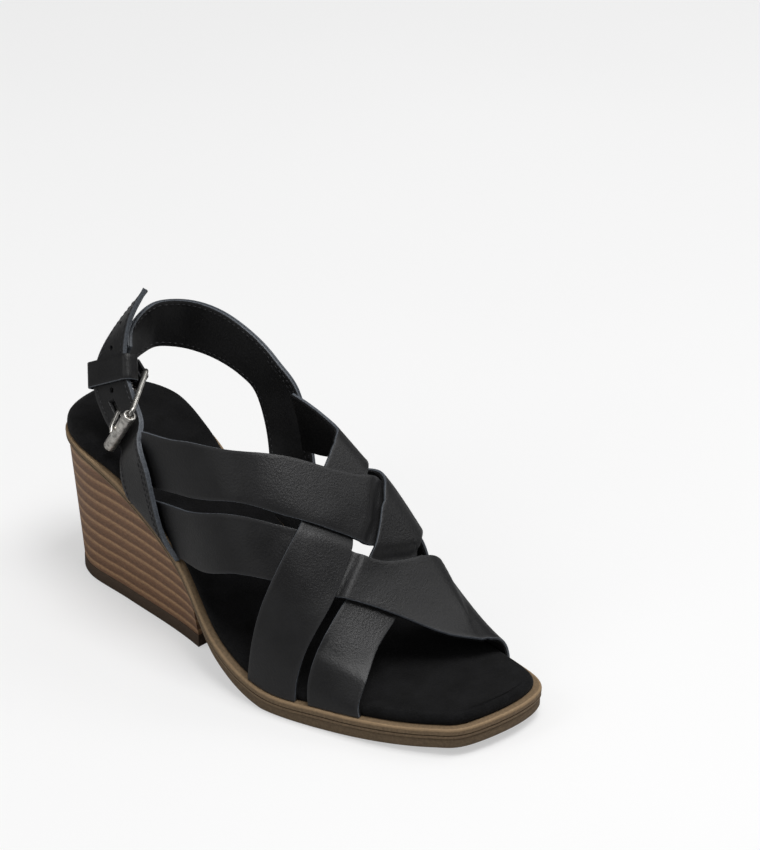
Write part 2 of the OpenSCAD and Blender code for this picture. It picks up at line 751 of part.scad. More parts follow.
module keeper_loop() {
    s = keeper_place;
    upper = sling_point(BILLET, s, 0);
    lower = sling_point(BILLET, s, 1);
    along_strap = unit(sling_point(BILLET, s + 0.02, 0.5) - sling_point(BILLET, s - 0.02, 0.5));
    width_dir = unit(upper - lower - along_strap * ((upper - lower) * along_strap));
    out = cross(along_strap, width_dir);
    middle = (upper + lower) / 2 + out * keeper_lift;
    color(leather_colour) centred()
        multmatrix([
            [width_dir[0], out[0], along_strap[0], middle[0]],
            [width_dir[1], out[1], along_strap[1], middle[1]],
            [width_dir[2], out[2], along_strap[2], middle[2]],
            [0, 0, 0, 1]
        ])
            translate([0, 0, -keeper_w / 2]) linear_extrude(keeper_w)
                difference() {
                    offset(r = keeper_round + keeper_wall) square(keeper_core, center = true);
                    offset(r = keeper_round) square(keeper_core, center = true);
                }
}

outsole();
welt();
top_lift();
wedge_core();
heel_wrap();
insole_board();
steel_shank();
shank_rivets();
heel_screws();
lift_nails();
footbed_foam();
footbed_cover();
strap_outer_rear();
strap_outer_front();
strap_inner_rear();
strap_inner_front();
lining_outer_rear();
lining_outer_front();
lining_inner_rear();
lining_inner_front();
billet_strap();
billet_lining();
heel_strap();
heel_strap_lining();
elastic_gore();
keeper_loop();
buckle_frame();
buckle_roller();
buckle_prong();
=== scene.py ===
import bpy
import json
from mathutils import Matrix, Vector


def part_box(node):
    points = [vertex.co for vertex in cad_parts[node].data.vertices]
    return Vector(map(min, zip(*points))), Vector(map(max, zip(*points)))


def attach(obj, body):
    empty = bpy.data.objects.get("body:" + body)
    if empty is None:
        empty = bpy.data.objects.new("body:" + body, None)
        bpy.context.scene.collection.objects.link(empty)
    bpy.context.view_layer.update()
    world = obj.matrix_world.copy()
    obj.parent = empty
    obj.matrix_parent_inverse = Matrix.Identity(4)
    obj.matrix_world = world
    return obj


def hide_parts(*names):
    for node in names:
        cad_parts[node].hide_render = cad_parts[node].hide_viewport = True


bl_info = {
    "name": "Woven wedge sandal",
    "version": (1, 0, 0),
    "blender": (4, 5, 0),
    "location": "View3D > Sidebar > Sandal",
    "description": "Builds a slingback wedge sandal with woven straps around its CAD frame",
    "category": "Object",
}

import json
import math

import bmesh
import bpy
import numpy as np
from bpy.props import FloatProperty, FloatVectorProperty, PointerProperty
from mathutils import Matrix, Vector

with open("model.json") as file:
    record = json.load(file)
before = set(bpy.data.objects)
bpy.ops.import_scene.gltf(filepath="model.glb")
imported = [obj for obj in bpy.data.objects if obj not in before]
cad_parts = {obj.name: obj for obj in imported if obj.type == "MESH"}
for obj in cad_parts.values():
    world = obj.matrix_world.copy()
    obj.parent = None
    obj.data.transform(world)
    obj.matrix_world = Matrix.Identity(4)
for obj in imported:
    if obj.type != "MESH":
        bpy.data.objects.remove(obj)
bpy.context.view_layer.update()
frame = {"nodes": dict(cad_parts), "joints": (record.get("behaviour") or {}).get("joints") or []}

MM = 0.001
WELT_LOW, WELT_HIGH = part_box("welt")
LIFT_LOW, LIFT_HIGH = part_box("top_lift")
JOINTS = {joint["name"]: joint for joint in frame["joints"]}


# ---- Sole: outline and heights, in millimetres, with u measured forward from the heel ----

SOLE_LENGTH = (WELT_HIGH.y - WELT_LOW.y) / MM
CENTRE_X = 3.35
LIFT_T = (LIFT_HIGH.z - LIFT_LOW.z) / MM
WELT_T = 4.6
LEDGE = 3.4
HEEL_LEDGE = 0.8
HEEL_RAKE = 10
HEEL_SQUARE = 0.8
HEEL_TAPER = 4
BREAST = 101
RIM_BASE = 9.5
OUTLINE = [
    (0, 1), (6, -20), (25.5, -31), (57, -34), (92.5, -38), (126, -47), (156, -49.5),
    (186, -42.5), (209.5, -34.5), (227.5, -25), (238, -15.5), (242.8, 6), (241.5, 23.5),
    (234.5, 32.5), (217.5, 38), (191.5, 42.5), (170.5, 43), (139.5, 38.5), (107, 22.5),
    (78, 19), (51, 24.5), (26, 27), (4.5, 19.5),
]
RIM_RISE = [57.5, 56, 47.5, 32.5, 9.5, 0, 0, 1.5, 4]
SOLE_T = [3.6, 4, 4.3, 5, 8, 9.2, 9.4, 9.2, 9.2]


def mix(a, b, t):
    return a + (b - a) * t


def curve_through(a, b, c, d, t):
    """Point at share t from b to c on the smooth curve through four points."""
    return 0.5 * (2 * b + (c - a) * t + (2 * a - 5 * b + 4 * c - d) * t**2
                  + (3 * b - a - 3 * c + d) * t**3)


def spline(points, s):
    """Smooth curve through points, at shares s from 0 to 1."""
    p = np.asarray(points, float)
    last = len(p) - 1
    x = np.clip(np.asarray(s, float), 0, 1) * last
    i = np.minimum(x.astype(int), last - 1)
    t = (x - i).reshape(x.shape + (1,) * (p.ndim - 1))
    padded = np.concatenate([[2 * p[0] - p[1]], p, [2 * p[-1] - p[-2]]])
    return curve_through(padded[i], padded[i + 1], padded[i + 2], padded[i + 3], t)


def closed_outline(steps=24):
    """The outline as a dense closed loop, with the unit vector that points inward at each point."""
    p = np.asarray(OUTLINE, float)
    t = (np.arange(steps) / steps)[None, :, None]
    four = (np.roll(p, shift, 0)[:, None, :] for shift in (1, 0, -1, -2))
    loop = curve_through(*four, t).reshape(-1, 2)
    along = np.roll(loop, -1, 0) - np.roll(loop, 1, 0)
    along /= np.linalg.norm(along, axis=1)[:, None]
    return loop, np.stack([-along[:, 1], along[:, 0]], 1)


LOOP, INWARD = closed_outline()


def ease(t):
    x = np.clip(t, 0, 1)
    return x * x * (3 - 2 * x)


def ledge_at(u):
    return mix(HEEL_LEDGE, LEDGE, ease((u - 18) / 52))


def sides(inset, bed=False):
    """Outer and inner edge of the outline moved inward: tables of u and x, both with u rising."""
    inset = inset + (ledge_at(LOOP[:, 0]) if bed else 0 * LOOP[:, 0])
    moved = LOOP + inset[:, None] * INWARD
    first, last = np.argmin(moved[:, 0]), np.argmax(moved[:, 0])
    turned = np.roll(moved, -first, 0)
    count = (last - first) % len(moved)
    outer = turned[: count + 1]
    inner = np.vstack([turned[count:], turned[:1]])[::-1]
    return outer, inner


def rim(u):
    return RIM_BASE + spline(RIM_RISE, np.asarray(u, float) / SOLE_LENGTH)


def under(u):
    return np.maximum(0, rim(u) - spline(SOLE_T, np.asarray(u, float) / SOLE_LENGTH))


def welt_bottom(u):
    return np.maximum(rim(u) - WELT_T, under(u) + 0.3)


def bed_thickness(u):
    return mix(7, 4.4, np.minimum(1, np.asarray(u, float) / SOLE_LENGTH * 1.6))


def to_frame(x, u, z):
    """Points of the frame, in metres, from the distance across, the station and the height."""
    x, u, z = np.broadcast_arrays(x, u, z)
    return np.stack([x + CENTRE_X, SOLE_LENGTH / 2 - u, z], -1) * MM


# ---- Form of the foot, on which the straps lie ----

FORM_FIRST, FORM_PITCH = 50, 25
# Each row: outer side, inner side, ridge across, and share of INSTEP_RISE
FORM = [
    (-33, 28, -2, 0.95), (-34, 29, 0, 1), (-37, 30, 3, 1.04), (-44, 34, 10, 1),
    (-46, 39, 18, 0.79), (-42, 40, 24, 0.44), (-36, 38, 27, 0.185), (-28, 34, 28, 0.07),
]
FORM_POWER = 2 / 2.2
INSTEP_RISE = 84
BED_OUTER, BED_INNER = sides(-0.2, bed=True)
GIRTH_PITCH = 12.5
GIRTH_SAMPLES = 401


def form_at(u, turn):
    """Point of the form at station u and turn, 0 at the outer rim and 1 at the inner rim."""
    u, turn = np.broadcast_arrays(np.asarray(u, float), np.asarray(turn, float))
    row = spline(FORM, (u - FORM_FIRST) / FORM_PITCH / (len(FORM) - 1))
    angle = np.pi * turn
    reach = np.abs(np.cos(angle)) ** FORM_POWER
    rise = np.abs(np.sin(angle)) ** FORM_POWER
    outer = turn < 0.5
    base = np.where(outer, np.interp(u, *BED_OUTER.T), np.interp(u, *BED_INNER.T))
    side = np.where(outer, row[..., 0], row[..., 1])
    wall = mix(base, side, np.sin(np.pi / 2 * np.minimum(1, rise / 0.8)))
    x = row[..., 2] + reach * (wall - row[..., 2])
    return np.stack([x, SOLE_LENGTH / 2 - u, rim(u) + 0.3 + row[..., 3] * INSTEP_RISE * rise], -1)


def girth_turns():
    """Turn for each share of the way around the form, one row for each station."""
    turns = np.linspace(0, 1, 41)
    shares = np.linspace(0, 1, GIRTH_SAMPLES)
    rows = []
    for i in range(15):
        points = form_at(FORM_FIRST + i * GIRTH_PITCH, turns)
        way = np.concatenate([[0], np.cumsum(np.linalg.norm(np.diff(points, axis=0), axis=1))])
        rows.append(np.interp(shares, way / way[-1], turns))
    return np.array(rows)


GIRTH = girth_turns()


def form_point(u, g):
    x = np.clip((u - FORM_FIRST) / GIRTH_PITCH, 0, 13.999)
    y = np.clip(g, 0, 1) * (GIRTH_SAMPLES - 1.001)
    i, j = x.astype(int), y.astype(int)
    t, s = x - i, y - j
    near = mix(GIRTH[i, j], GIRTH[i, j + 1], s)
    far = mix(GIRTH[i + 1, j], GIRTH[i + 1, j + 1], s)
    return form_at(u, mix(near, far, t))


def unit(v):
    return v / np.linalg.norm(v, axis=-1, keepdims=True)


def form_normal(u, g):
    across = form_point(u, np.minimum(g + 0.01, 1)) - form_point(u, np.maximum(g - 0.01, 0))
    return unit(np.cross(form_point(u + 1, g) - form_point(u - 1, g), across))


# ---- Woven straps, each a list of pairs of rear and front edge: station, share of girth ----

STRAPS = {
    "strap_outer_rear": (1, [
        ((68, 0.19), (72, 0.075)), ((88, 0.25), (96, 0.167)), ((110, 0.345), (121.5, 0.295)),
        ((128, 0.435), (142, 0.37)), ((142, 0.52), (156, 0.445)), ((149, 0.62), (164.5, 0.535)),
        ((147, 0.74), (165, 0.71)), ((147, 0.87), (166, 0.86)), ((147, 1), (167, 1)),
    ]),
    "strap_outer_front": (1, [
        ((75, 0.055), (92.5, 0)), ((97, 0.14), (108, 0.075)), ((120, 0.262), (131, 0.187)),
        ((143, 0.352), (153, 0.265)), ((156.5, 0.42), (169, 0.34)), ((168, 0.505), (184, 0.445)),
        ((173, 0.65), (199, 0.59)), ((176, 0.81), (209, 0.77)), ((178, 1), (213, 1)),
    ]),
    "strap_inner_rear": (-1, [
        ((100, 0.685), (104, 0.8)), ((113, 0.645), (118, 0.745)), ((127, 0.61), (133, 0.675)),
        ((135, 0.555), (146, 0.6)), ((141, 0.48), (155, 0.52)), ((146, 0.385), (162, 0.43)),
        ((148, 0.27), (168, 0.3)), ((147.5, 0.13), (169.5, 0.15)), ((146, 0), (170, 0)),
    ]),
    "strap_inner_front": (-1, [
        ((107.5, 0.84), (114.5, 0.945)), ((118, 0.785), (128, 0.87)), ((133, 0.71), (147, 0.785)),
        ((148, 0.635), (164, 0.7)), ((160, 0.555), (176, 0.59)), ((168, 0.45), (184, 0.465)),
        ((171, 0.31), (188.5, 0.31)), ((173.5, 0.15), (194.5, 0.15)), ((176, 0), (198.5, 0)),
    ]),
}
LININGS = {
    "strap_outer_rear": "lining_outer_rear",
    "strap_outer_front": "lining_outer_front",
    "strap_inner_rear": "lining_inner_rear",
    "strap_inner_front": "lining_inner_front",
    "billet_strap": "billet_lining",
    "heel_strap": "heel_strap_lining",
}
WEAVE_RISE, WEAVE_BLEND, WEAVE_REACH = 1.25, 1.7, 58
WEAVE_CENTRE = (164, 0.46)
OUTER_SPLIT = [(118, 0.272), (140, 0.357), (149, 0.388), (155, 0.425), (160.5, 0.465), (166.5, 0.522),
               (170, 0.63), (171.5, 0.75)]
INNER_SPLIT = [(118, 0.77), (132, 0.695), (147, 0.62), (158, 0.54), (164.5, 0.44), (170, 0.30),
               (174, 0.17)]
GIRTH_LENGTH = 150


def weave(u, g):
    """+1 where the straps from the outer side lie on top, -1 where those from the inner side do."""
    scale = GIRTH_LENGTH * 0.72 / WEAVE_BLEND
    from_outer = (g - np.interp(u, *np.transpose(OUTER_SPLIT))) * scale
    from_inner = (np.interp(u, *np.transpose(INNER_SPLIT)) - g) * scale
    away = np.hypot(u - WEAVE_CENTRE[0], (g - WEAVE_CENTRE[1]) * GIRTH_LENGTH)
    return np.tanh(from_outer) * np.tanh(from_inner) * np.exp(-((away / WEAVE_REACH) ** 4))


def vamp_grid(name, steps=150, across=14):
    """Points and outward normals of a woven strap, in the frame."""
    top, pairs = STRAPS[name]
    s = np.linspace(0, 1, steps + 1)
    edges = spline(pairs, s)
    w = np.linspace(0, 1, across + 1)[None, :, None]
    station = mix(edges[:, None, 0], edges[:, None, 1], w)
    u, g = station[..., 0], np.clip(station[..., 1], 0, 1)
    fade = ease(np.minimum(g, 1 - g) * 3.2)
    n = form_normal(u, g)
    n[..., 2] *= fade
    n = unit(n)
    rise = np.minimum(np.minimum(fade, 0.03 + 3 * s[:, None]), 1)
    lift = WEAVE_RISE * (1 + top * weave(u, g)) * rise
    points = form_point(u, g) + n * lift[..., None]
    points[..., 0] += CENTRE_X
    return points * MM, n


# ---- Sling: pairs of front or upper edge and rear or lower edge, across, station, height ----

SLING = {
    "billet_strap": [
        ((-36.6, 94, 38.5), (-32.2, 64, 55)), ((-37.7, 87, 49), (-33.6, 62.5, 57)),
        ((-37.6, 82, 62), (-34.5, 61, 61)), ((-36.8, 77, 76), (-34, 58.5, 66)),
        ((-33.9, 69.5, 86), (-31.4, 55.5, 70.5)), ((-25.2, 61.5, 90.5), (-25.7, 49.5, 73.5)),
        ((-20.5, 51.5, 97.5), (-24.5, 38, 83)), ((-16.5, 43, 104), (-21, 28.5, 91.5)),
        ((-12, 38, 112.5), (-15.5, 24.5, 100.5)), ((-8, 38, 124), (-6, 24.5, 111.5)),
        ((-3, 42, 137), (8, 30, 128)),
    ],
    "heel_strap": [
        ((23.6, 113, 25), (17.8, 88, 43.5)), ((30, 109, 48), (23, 87, 56)),
        ((32.6, 104, 72), (27, 84, 66)), ((33, 96, 95), (29.5, 79, 78)),
        ((31, 86, 106.5), (30, 73, 89)), ((30, 75, 114), (29, 65, 94)),
        ((28, 61, 120), (27.5, 56, 97)), ((26, 48, 122), (25.5, 46, 98.5)),
        ((22.5, 36, 121.5), (21, 36, 99.5)), ((15, 28, 120.5), (13, 28, 100)),
        ((6, 27.5, 119), (4, 27, 99)), ((-3, 29.5, 115), (-6, 27, 95)),
        ((-8, 34, 109.5), (-11.5, 27.5, 90.5)),
    ],
}
SEAT = 0.951


def sling_point(pairs, s, w):
    edges = spline(pairs, s)
    q = mix(edges[..., 0, :], edges[..., 1, :], np.asarray(w)[..., None])
    foot = mix(np.array(pairs[0][0], float), np.array(pairs[0][1], float), np.asarray(w)[..., None])
    seat = rim(foot[..., 1]) + SEAT - foot[..., 2]
    z = q[..., 2] + seat * np.maximum(0, 1 - 6 * np.asarray(s))
    return to_frame(q[..., 0], q[..., 1], z)


def sling_grid(name, steps=170, across=14):
    """Points and outward normals of a sling strap, in the frame."""
    pairs = SLING[name]
    s = np.linspace(0, 1, steps + 1)[:, None] * np.ones(across + 1)
    w = np.linspace(0, 1, across + 1)[None, :] * np.ones_like(s)
    step = 0.004
    along = sling_point(pairs, np.minimum(s + step, 1), w) - sling_point(pairs, np.maximum(s - step, 0), w)
    n = unit(np.cross(along, sling_point(pairs, s, w * 0 + 1) - sling_point(pairs, s, w * 0)))
    n[..., 2] *= np.minimum(1, 8 * s)
    return sling_point(pairs, s, w), unit(n)


def strap_grid(name):
    return vamp_grid(name) if name in STRAPS else sling_grid(name)


# ---- Buckle: its own axes, along the rear bar, towards the roller and outward ----

HINGE = JOINTS["frame_hinge"]
BAR = Vector(HINGE["pos_m"])
BAR_X = Vector(HINGE["axis"]).normalized()
ROLLER = Vector(JOINTS["roller_spin"]["pos_m"])
BAR_Y = (ROLLER - BAR).normalized()
BAR_Z = BAR_X.cross(BAR_Y)
REACH = (ROLLER - BAR).length
AT_BUCKLE = Matrix.Translation(BAR) @ Matrix((BAR_X, BAR_Y, BAR_Z)).transposed().to_4x4()


# ---- Settings that a user would change ----


class SandalSizes(bpy.types.PropertyGroup):
    stitch_pitch: FloatProperty(
        name="Stitch pitch", description="Distance from one stitch to the next",
        default=2.6 * MM, unit="LENGTH",
    )
    thread: FloatProperty(
        name="Thread", description="Thickness of the sewing thread", default=0.55 * MM, unit="LENGTH",
    )
    leather_t: FloatProperty(
        name="Leather", description="Thickness of the strap leather", default=1.3 * MM, unit="LENGTH",
    )
    lining_t: FloatProperty(
        name="Lining", description="Thickness of the strap lining", default=0.8 * MM, unit="LENGTH",
    )
    layer_pitch: FloatProperty(
        name="Heel layers", description="Height of one layer of the stacked heel",
        default=5.7 * MM, unit="LENGTH",
    )
    wire: FloatProperty(
        name="Buckle wire", description="Thickness of the buckle wire", default=2.2 * MM, unit="LENGTH",
    )


def linear(code):
    """Linear colour from an sRGB hex value."""
    values = [int(code[i:i + 2], 16) / 255 for i in (1, 3, 5)]
    return tuple(v / 12.92 if v <= 0.04045 else ((v + 0.055) / 1.055) ** 2.4 for v in values)


def colour(name, description, code):
    return FloatVectorProperty(name=name, description=description, default=linear(code),
                               subtype="COLOR", min=0, max=1)


class SandalColours(bpy.types.PropertyGroup):
    leather: colour("Leather", "Colour of the strap leather", "#1b1b1c")
    leather_edge: colour("Cut edge", "Colour of the painted cut edges", "#5d6269")
    suede: colour("Suede", "Colour of the suede of the footbed and linings", "#09090a")
    rim: colour("Rim", "Colour of the welt", "#7c674d")
    stack: colour("Heel stack", "Colour of the stacked heel", "#7f5c42")
    stack_lines: colour("Heel lines", "Colour of the pale lines of the stacked heel", "#b58f68")
    lift: colour("Heel lift", "Colour of the heel lift", "#4a3a2b")
    metal: colour("Metal", "Colour of the buckle", "#dedbd5")


def sizes():
    return bpy.context.scene.sandal_sizes


def colours():
    return bpy.context.scene.sandal_colours


# ---- Materials ----


def add(tree, kind, values=None, links=None):
    """Adds a node: values set sockets or, for names that no socket has, properties."""
    made = tree.nodes.new(kind)
    for key, value in (values or {}).items():
        if isinstance(key, int) or key in made.inputs:
            made.inputs[key].default_value = value
        else:
            setattr(made, key, value)
    for key, source in (links or {}).items():
        tree.links.new(source, made.inputs[key])
    return made


def new_material(name):
    material = bpy.data.materials.new(name)
    material.use_nodes = True
    tree = material.node_tree
    shader = tree.nodes["Principled BSDF"]
    place = add(tree, "ShaderNodeTexCoord").outputs["Object"]
    return material, tree, shader, place


def shade(rgb, share):
    """A colour made lighter above 1, or darker below it."""
    return tuple(min(1, v * share) for v in rgb) + (1,)


def grain(tree, place, pitch, detail=3.0, rough=0.5):
    """Cloudy pattern whose patches are about pitch metres across."""
    return add(tree, "ShaderNodeTexNoise",
               {"Scale": 1 / pitch, "Detail": detail, "Roughness": rough}, {"Vector": place}).outputs[0]


def ramp(tree, value, stops):
    """Colour ramp through stops of position and colour."""
    made = add(tree, "ShaderNodeValToRGB", links={0: value})
    elements = made.color_ramp.elements
    elements[0].position, elements[0].color = stops[0]
    elements[1].position, elements[1].color = stops[-1]
    for position, rgba in stops[1:-1]:
        elements.new(position).color = rgba
    return made.outputs[0]


def tones(base, low, high, start=0.3, end=0.7):
    """Two stops of one colour, from a darker to a lighter share of it."""
    return [(start, shade(base, low)), (end, shade(base, high))]


def painted(tree, shader, pattern, stops):
    """Base colour from a ramp over a pattern."""
    tree.links.new(ramp(tree, pattern, stops), shader.inputs["Base Color"])


def set_inputs(node, values):
    for name, value in values.items():
        node.inputs[name].default_value = value


def spread(tree, value, low, high, start=0.3, end=0.7):
    """Turns a pattern's middle range into values from low to high."""
    return add(tree, "ShaderNodeMapRange",
               {"From Min": start, "From Max": end, "To Min": low, "To Max": high},
               {"Value": value}).outputs[0]


def math_node(tree, operation, first, second=0.0):
    made = add(tree, "ShaderNodeMath", {"operation": operation})
    for index, value in enumerate((first, second)):
        if isinstance(value, float):
            made.inputs[index].default_value = value
        else:
            tree.links.new(value, made.inputs[index])
    return made.outputs[0]


def bump(tree, shader, height, depth, before=None):
    """Bump of a depth in metres for a height pattern from 0 to 1."""
    links = {"Height": height}
    if before:
        links["Normal"] = before
    made = add(tree, "ShaderNodeBump", {"Distance": depth, "Strength": 1.0}, links)
    tree.links.new(made.outputs[0], shader.inputs["Normal"])
    return made.outputs[0]


def smooth_leather(name="Aniline finished cowhide"):
    """Drum-dyed cowhide with a satin top coat: fine pores, soft mottling, and edges painted lighter, partly
    as pressed, worn edges and partly as a painted highlight along them.
    """
    material, tree, shader, place = new_material(name)
    base = colours().leather
    cloudy = grain(tree, place, 14 * MM, 4)
    tone = ramp(tree, cloudy, tones(base, 0.82, 1.22))
    edge = add(tree, "ShaderNodeAttribute", {"attribute_name": "edge_distance"}).outputs["Fac"]
    # Near a strap's edge the colour is painted up to 1.9 times lighter: partly edge wear, partly a painted
    # highlight along the rounded edge.
    edge_wear_and_highlight = spread(tree, edge, 1.0, 0.0, 0.0003, 0.0016)
    tint = add(tree, "ShaderNodeMix", {"data_type": "RGBA", 7: shade(base, 1.9)}, {0: edge_wear_and_highlight, 6: tone})
    tree.links.new(tint.outputs[2], shader.inputs["Base Color"])
    pores = add(tree, "ShaderNodeTexVoronoi", {"Scale": 1 / (1.1 * MM)}, {"Vector": place}).outputs[0]
    fine = grain(tree, place, 0.6 * MM, 3)
    both = math_node(tree, "ADD", math_node(tree, "MULTIPLY", pores, 0.6), fine)
    folds = bump(tree, shader, grain(tree, place, 22 * MM, 2), 0.35 * MM)
    bump(tree, shader, both, 0.09 * MM, folds)
    tree.links.new(spread(tree, cloudy, 0.40, 0.52), shader.inputs["Roughness"])
    set_inputs(shader, {"IOR": 1.5, "Specular IOR Level": 0.42})
    return material


def edge_paint():
    """Acrylic edge paint over the cut fibres: grey-blue, dull and a little uneven."""
    material, tree, shader, place = new_material("Acrylic edge paint")
    base = colours().leather_edge
    speck = grain(tree, place, 0.7 * MM, 3)
    painted(tree, shader, speck, tones(base, 0.55, 1.1))
    bump(tree, shader, speck, 0.08 * MM)
    shader.inputs["Roughness"].default_value = 0.5
    return material


def suede(name="Split suede", lighter=1.0):
    """Split suede with its nap brushed up: no gloss, a faint sheen and cloudy stroke marks."""
    material, tree, shader, place = new_material(name)
    base = tuple(v * lighter for v in colours().suede)
    strokes = grain(tree, place, 9 * MM, 5, 0.6)
    nap = grain(tree, place, 0.5 * MM, 3)
    both = math_node(tree, "MULTIPLY", math_node(tree, "ADD", strokes, nap), 0.5)
    painted(tree, shader, both, tones(base, 0.4, 2.1, 0.38, 0.62))
    bump(tree, shader, nap, 0.3 * MM)
    set_inputs(shader, {"Roughness": 0.95, "Specular IOR Level": 0.2, "Sheen Weight": 0.04,
                        "Sheen Roughness": 0.5})
    return material


def rim_rubber(name, share, speckle=0.25):
    """Moulded microcellular rubber of the welt: matt, with a faint cork-like speckle."""
    material, tree, shader, place = new_material(name)
    base = tuple(v * share for v in colours().rim)
    specks = grain(tree, place, 1.1 * MM, 4, 0.6)
    painted(tree, shader, specks, tones(base, 1 - speckle, 1 + speckle * 0.7, 0.32, 0.68))
    bump(tree, shader, specks, 0.06 * MM)
    shader.inputs["Roughness"].default_value = 0.7
    return material


def stacked_leather():
    """Sanded and waxed stacked heel: brown fibre layers parted by pale, slightly wavy glue lines."""
    material, tree, shader, place = new_material("Stacked veg-tan leather")
    base = colours().stack
    split = add(tree, "ShaderNodeSeparateXYZ", links={0: place}).outputs
    wave = math_node(tree, "MULTIPLY", grain(tree, place, 34 * MM, 2), 2.6 * MM)
    height = math_node(tree, "ADD", split[2], wave)
    layer = math_node(tree, "FRACT", math_node(tree, "DIVIDE", height, sizes().layer_pitch))
    pale = colours().stack_lines
    bands = ramp(tree, layer, [
        (0.0, shade(base, 0.80)), (0.26, shade(base, 0.95)), (0.50, shade(base, 1.20)),
        (0.68, shade(pale, 0.85)), (0.80, shade(pale, 1.0)), (0.90, shade(base, 1.15)),
        (1.0, shade(base, 0.86)),
    ])
    flat = add(tree, "ShaderNodeMapping", {"Scale": (1.0, 1.0, 3.5)}, {"Vector": place}).outputs[0]
    fibres = grain(tree, flat, 1.6 * MM, 5, 0.7)
    speck = ramp(tree, fibres, [(0.3, (0.58, 0.57, 0.56, 1)), (0.7, (1.3, 1.3, 1.3, 1))])
    tone = add(tree, "ShaderNodeMix", {"data_type": "RGBA", "blend_type": "MULTIPLY", 0: 1.0},
               {6: bands, 7: speck})
    tree.links.new(tone.outputs[2], shader.inputs["Base Color"])
    bump(tree, shader, math_node(tree, "ADD", fibres, math_node(tree, "MULTIPLY", layer, 0.4)), 0.07 * MM)
    shader.inputs["Roughness"].default_value = 0.55
    return material


def lift_rubber():
    """Vulcanised rubber heel lift: dark, matt, with fine sanding marks."""
    material, tree, shader, place = new_material("Vulcanised rubber lift")
    base = colours().lift
    flat = add(tree, "ShaderNodeMapping", {"Scale": (1.0, 1.0, 6.0)}, {"Vector": place}).outputs[0]
    marks = grain(tree, flat, 1.4 * MM, 4)
    painted(tree, shader, marks, tones(base, 0.8, 1.2))
    bump(tree, shader, marks, 0.05 * MM)
    shader.inputs["Roughness"].default_value = 0.68
    return material


def antique_silver(name="Antique silver plated zinc", rough=0.24):
    """Zinc casting plated in antique silver: worn bright, with a dark patina left in its hollows."""
    material, tree, shader, place = new_material(name)
    base = colours().metal
    patina = grain(tree, place, 2.2 * MM, 5, 0.65)
    painted(tree, shader, patina, tones(base, 0.5, 1.1, 0.34, 0.58))
    scratches = grain(tree, place, 0.35 * MM, 2)
    tree.links.new(spread(tree, patina, rough + 0.16, rough), shader.inputs["Roughness"])
    bump(tree, shader, scratches, 0.02 * MM)
    shader.inputs["Metallic"].default_value = 1.0
    return material


def knitted_elastic():
    """Knitted rubber-core elastic: black polyester with a dull fibre sheen."""
    material, tree, shader, place = new_material("Knitted polyester elastic")
    threads = grain(tree, place, 0.4 * MM, 2)
    painted(tree, shader, threads, [(0.3, linear("#08080a") + (1,)), (0.7, linear("#1c1c20") + (1,))])
    bump(tree, shader, threads, 0.1 * MM)
    shader.inputs["Roughness"].default_value = 0.8
    return material


def sewing_thread():
    """Bonded nylon thread: black, twisted, with a small highlight on each stitch."""
    material, tree, shader, place = new_material("Bonded nylon thread")
    twist = grain(tree, place, 0.3 * MM, 2)
    painted(tree, shader, twist, [(0.3, linear("#141416") + (1,)), (0.7, linear("#2c2c30") + (1,))])
    shader.inputs["Roughness"].default_value = 0.5
    return material


def plain_stock(name, code, pitch, rough, metallic=0.0):
    """Stock that stays out of sight inside the sole, with the faint mottling of its making."""
    material, tree, shader, place = new_material(name)
    mottling = grain(tree, place, pitch, 4)
    base = linear(code)
    painted(tree, shader, mottling, tones(base, 0.8, 1.15))
    bump(tree, shader, mottling, 0.05 * MM)
    set_inputs(shader, {"Roughness": rough, "Metallic": metallic})
    return material


# ---- Meshes ----


def made_object(name, mesh, materials):
    piece = bpy.data.objects.new(name, mesh)
    bpy.context.scene.collection.objects.link(piece)
    for material in materials:
        piece.data.materials.append(material)
    return piece


def smooth(mesh, degrees=38):
    mesh.polygons.foreach_set("use_smooth", [True] * len(mesh.polygons))
    mesh.set_sharp_from_angle(angle=math.radians(degrees))
    mesh.update()


def applied(piece):
    """Turns the evaluated object into a plain mesh and drops its modifiers."""
    graph = bpy.context.evaluated_depsgraph_get()
    mesh = bpy.data.meshes.new_from_object(piece.evaluated_get(graph))
    piece.modifiers.clear()
    piece.data = mesh
    return piece


def bevelled(piece, width, segments=3, degrees=50):
    made = piece.modifiers.new("Bevel", "BEVEL")
    made.width = width
    made.segments = segments
    made.limit_method = "ANGLE"
    made.angle_limit = math.radians(degrees)
    made.use_clamp_overlap = True
    applied(piece)
    smooth(piece.data)
    return piece


def finish_piece(piece, body, nodes=()):
    if nodes:
        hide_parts(*nodes)
    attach(piece, body)
    return piece


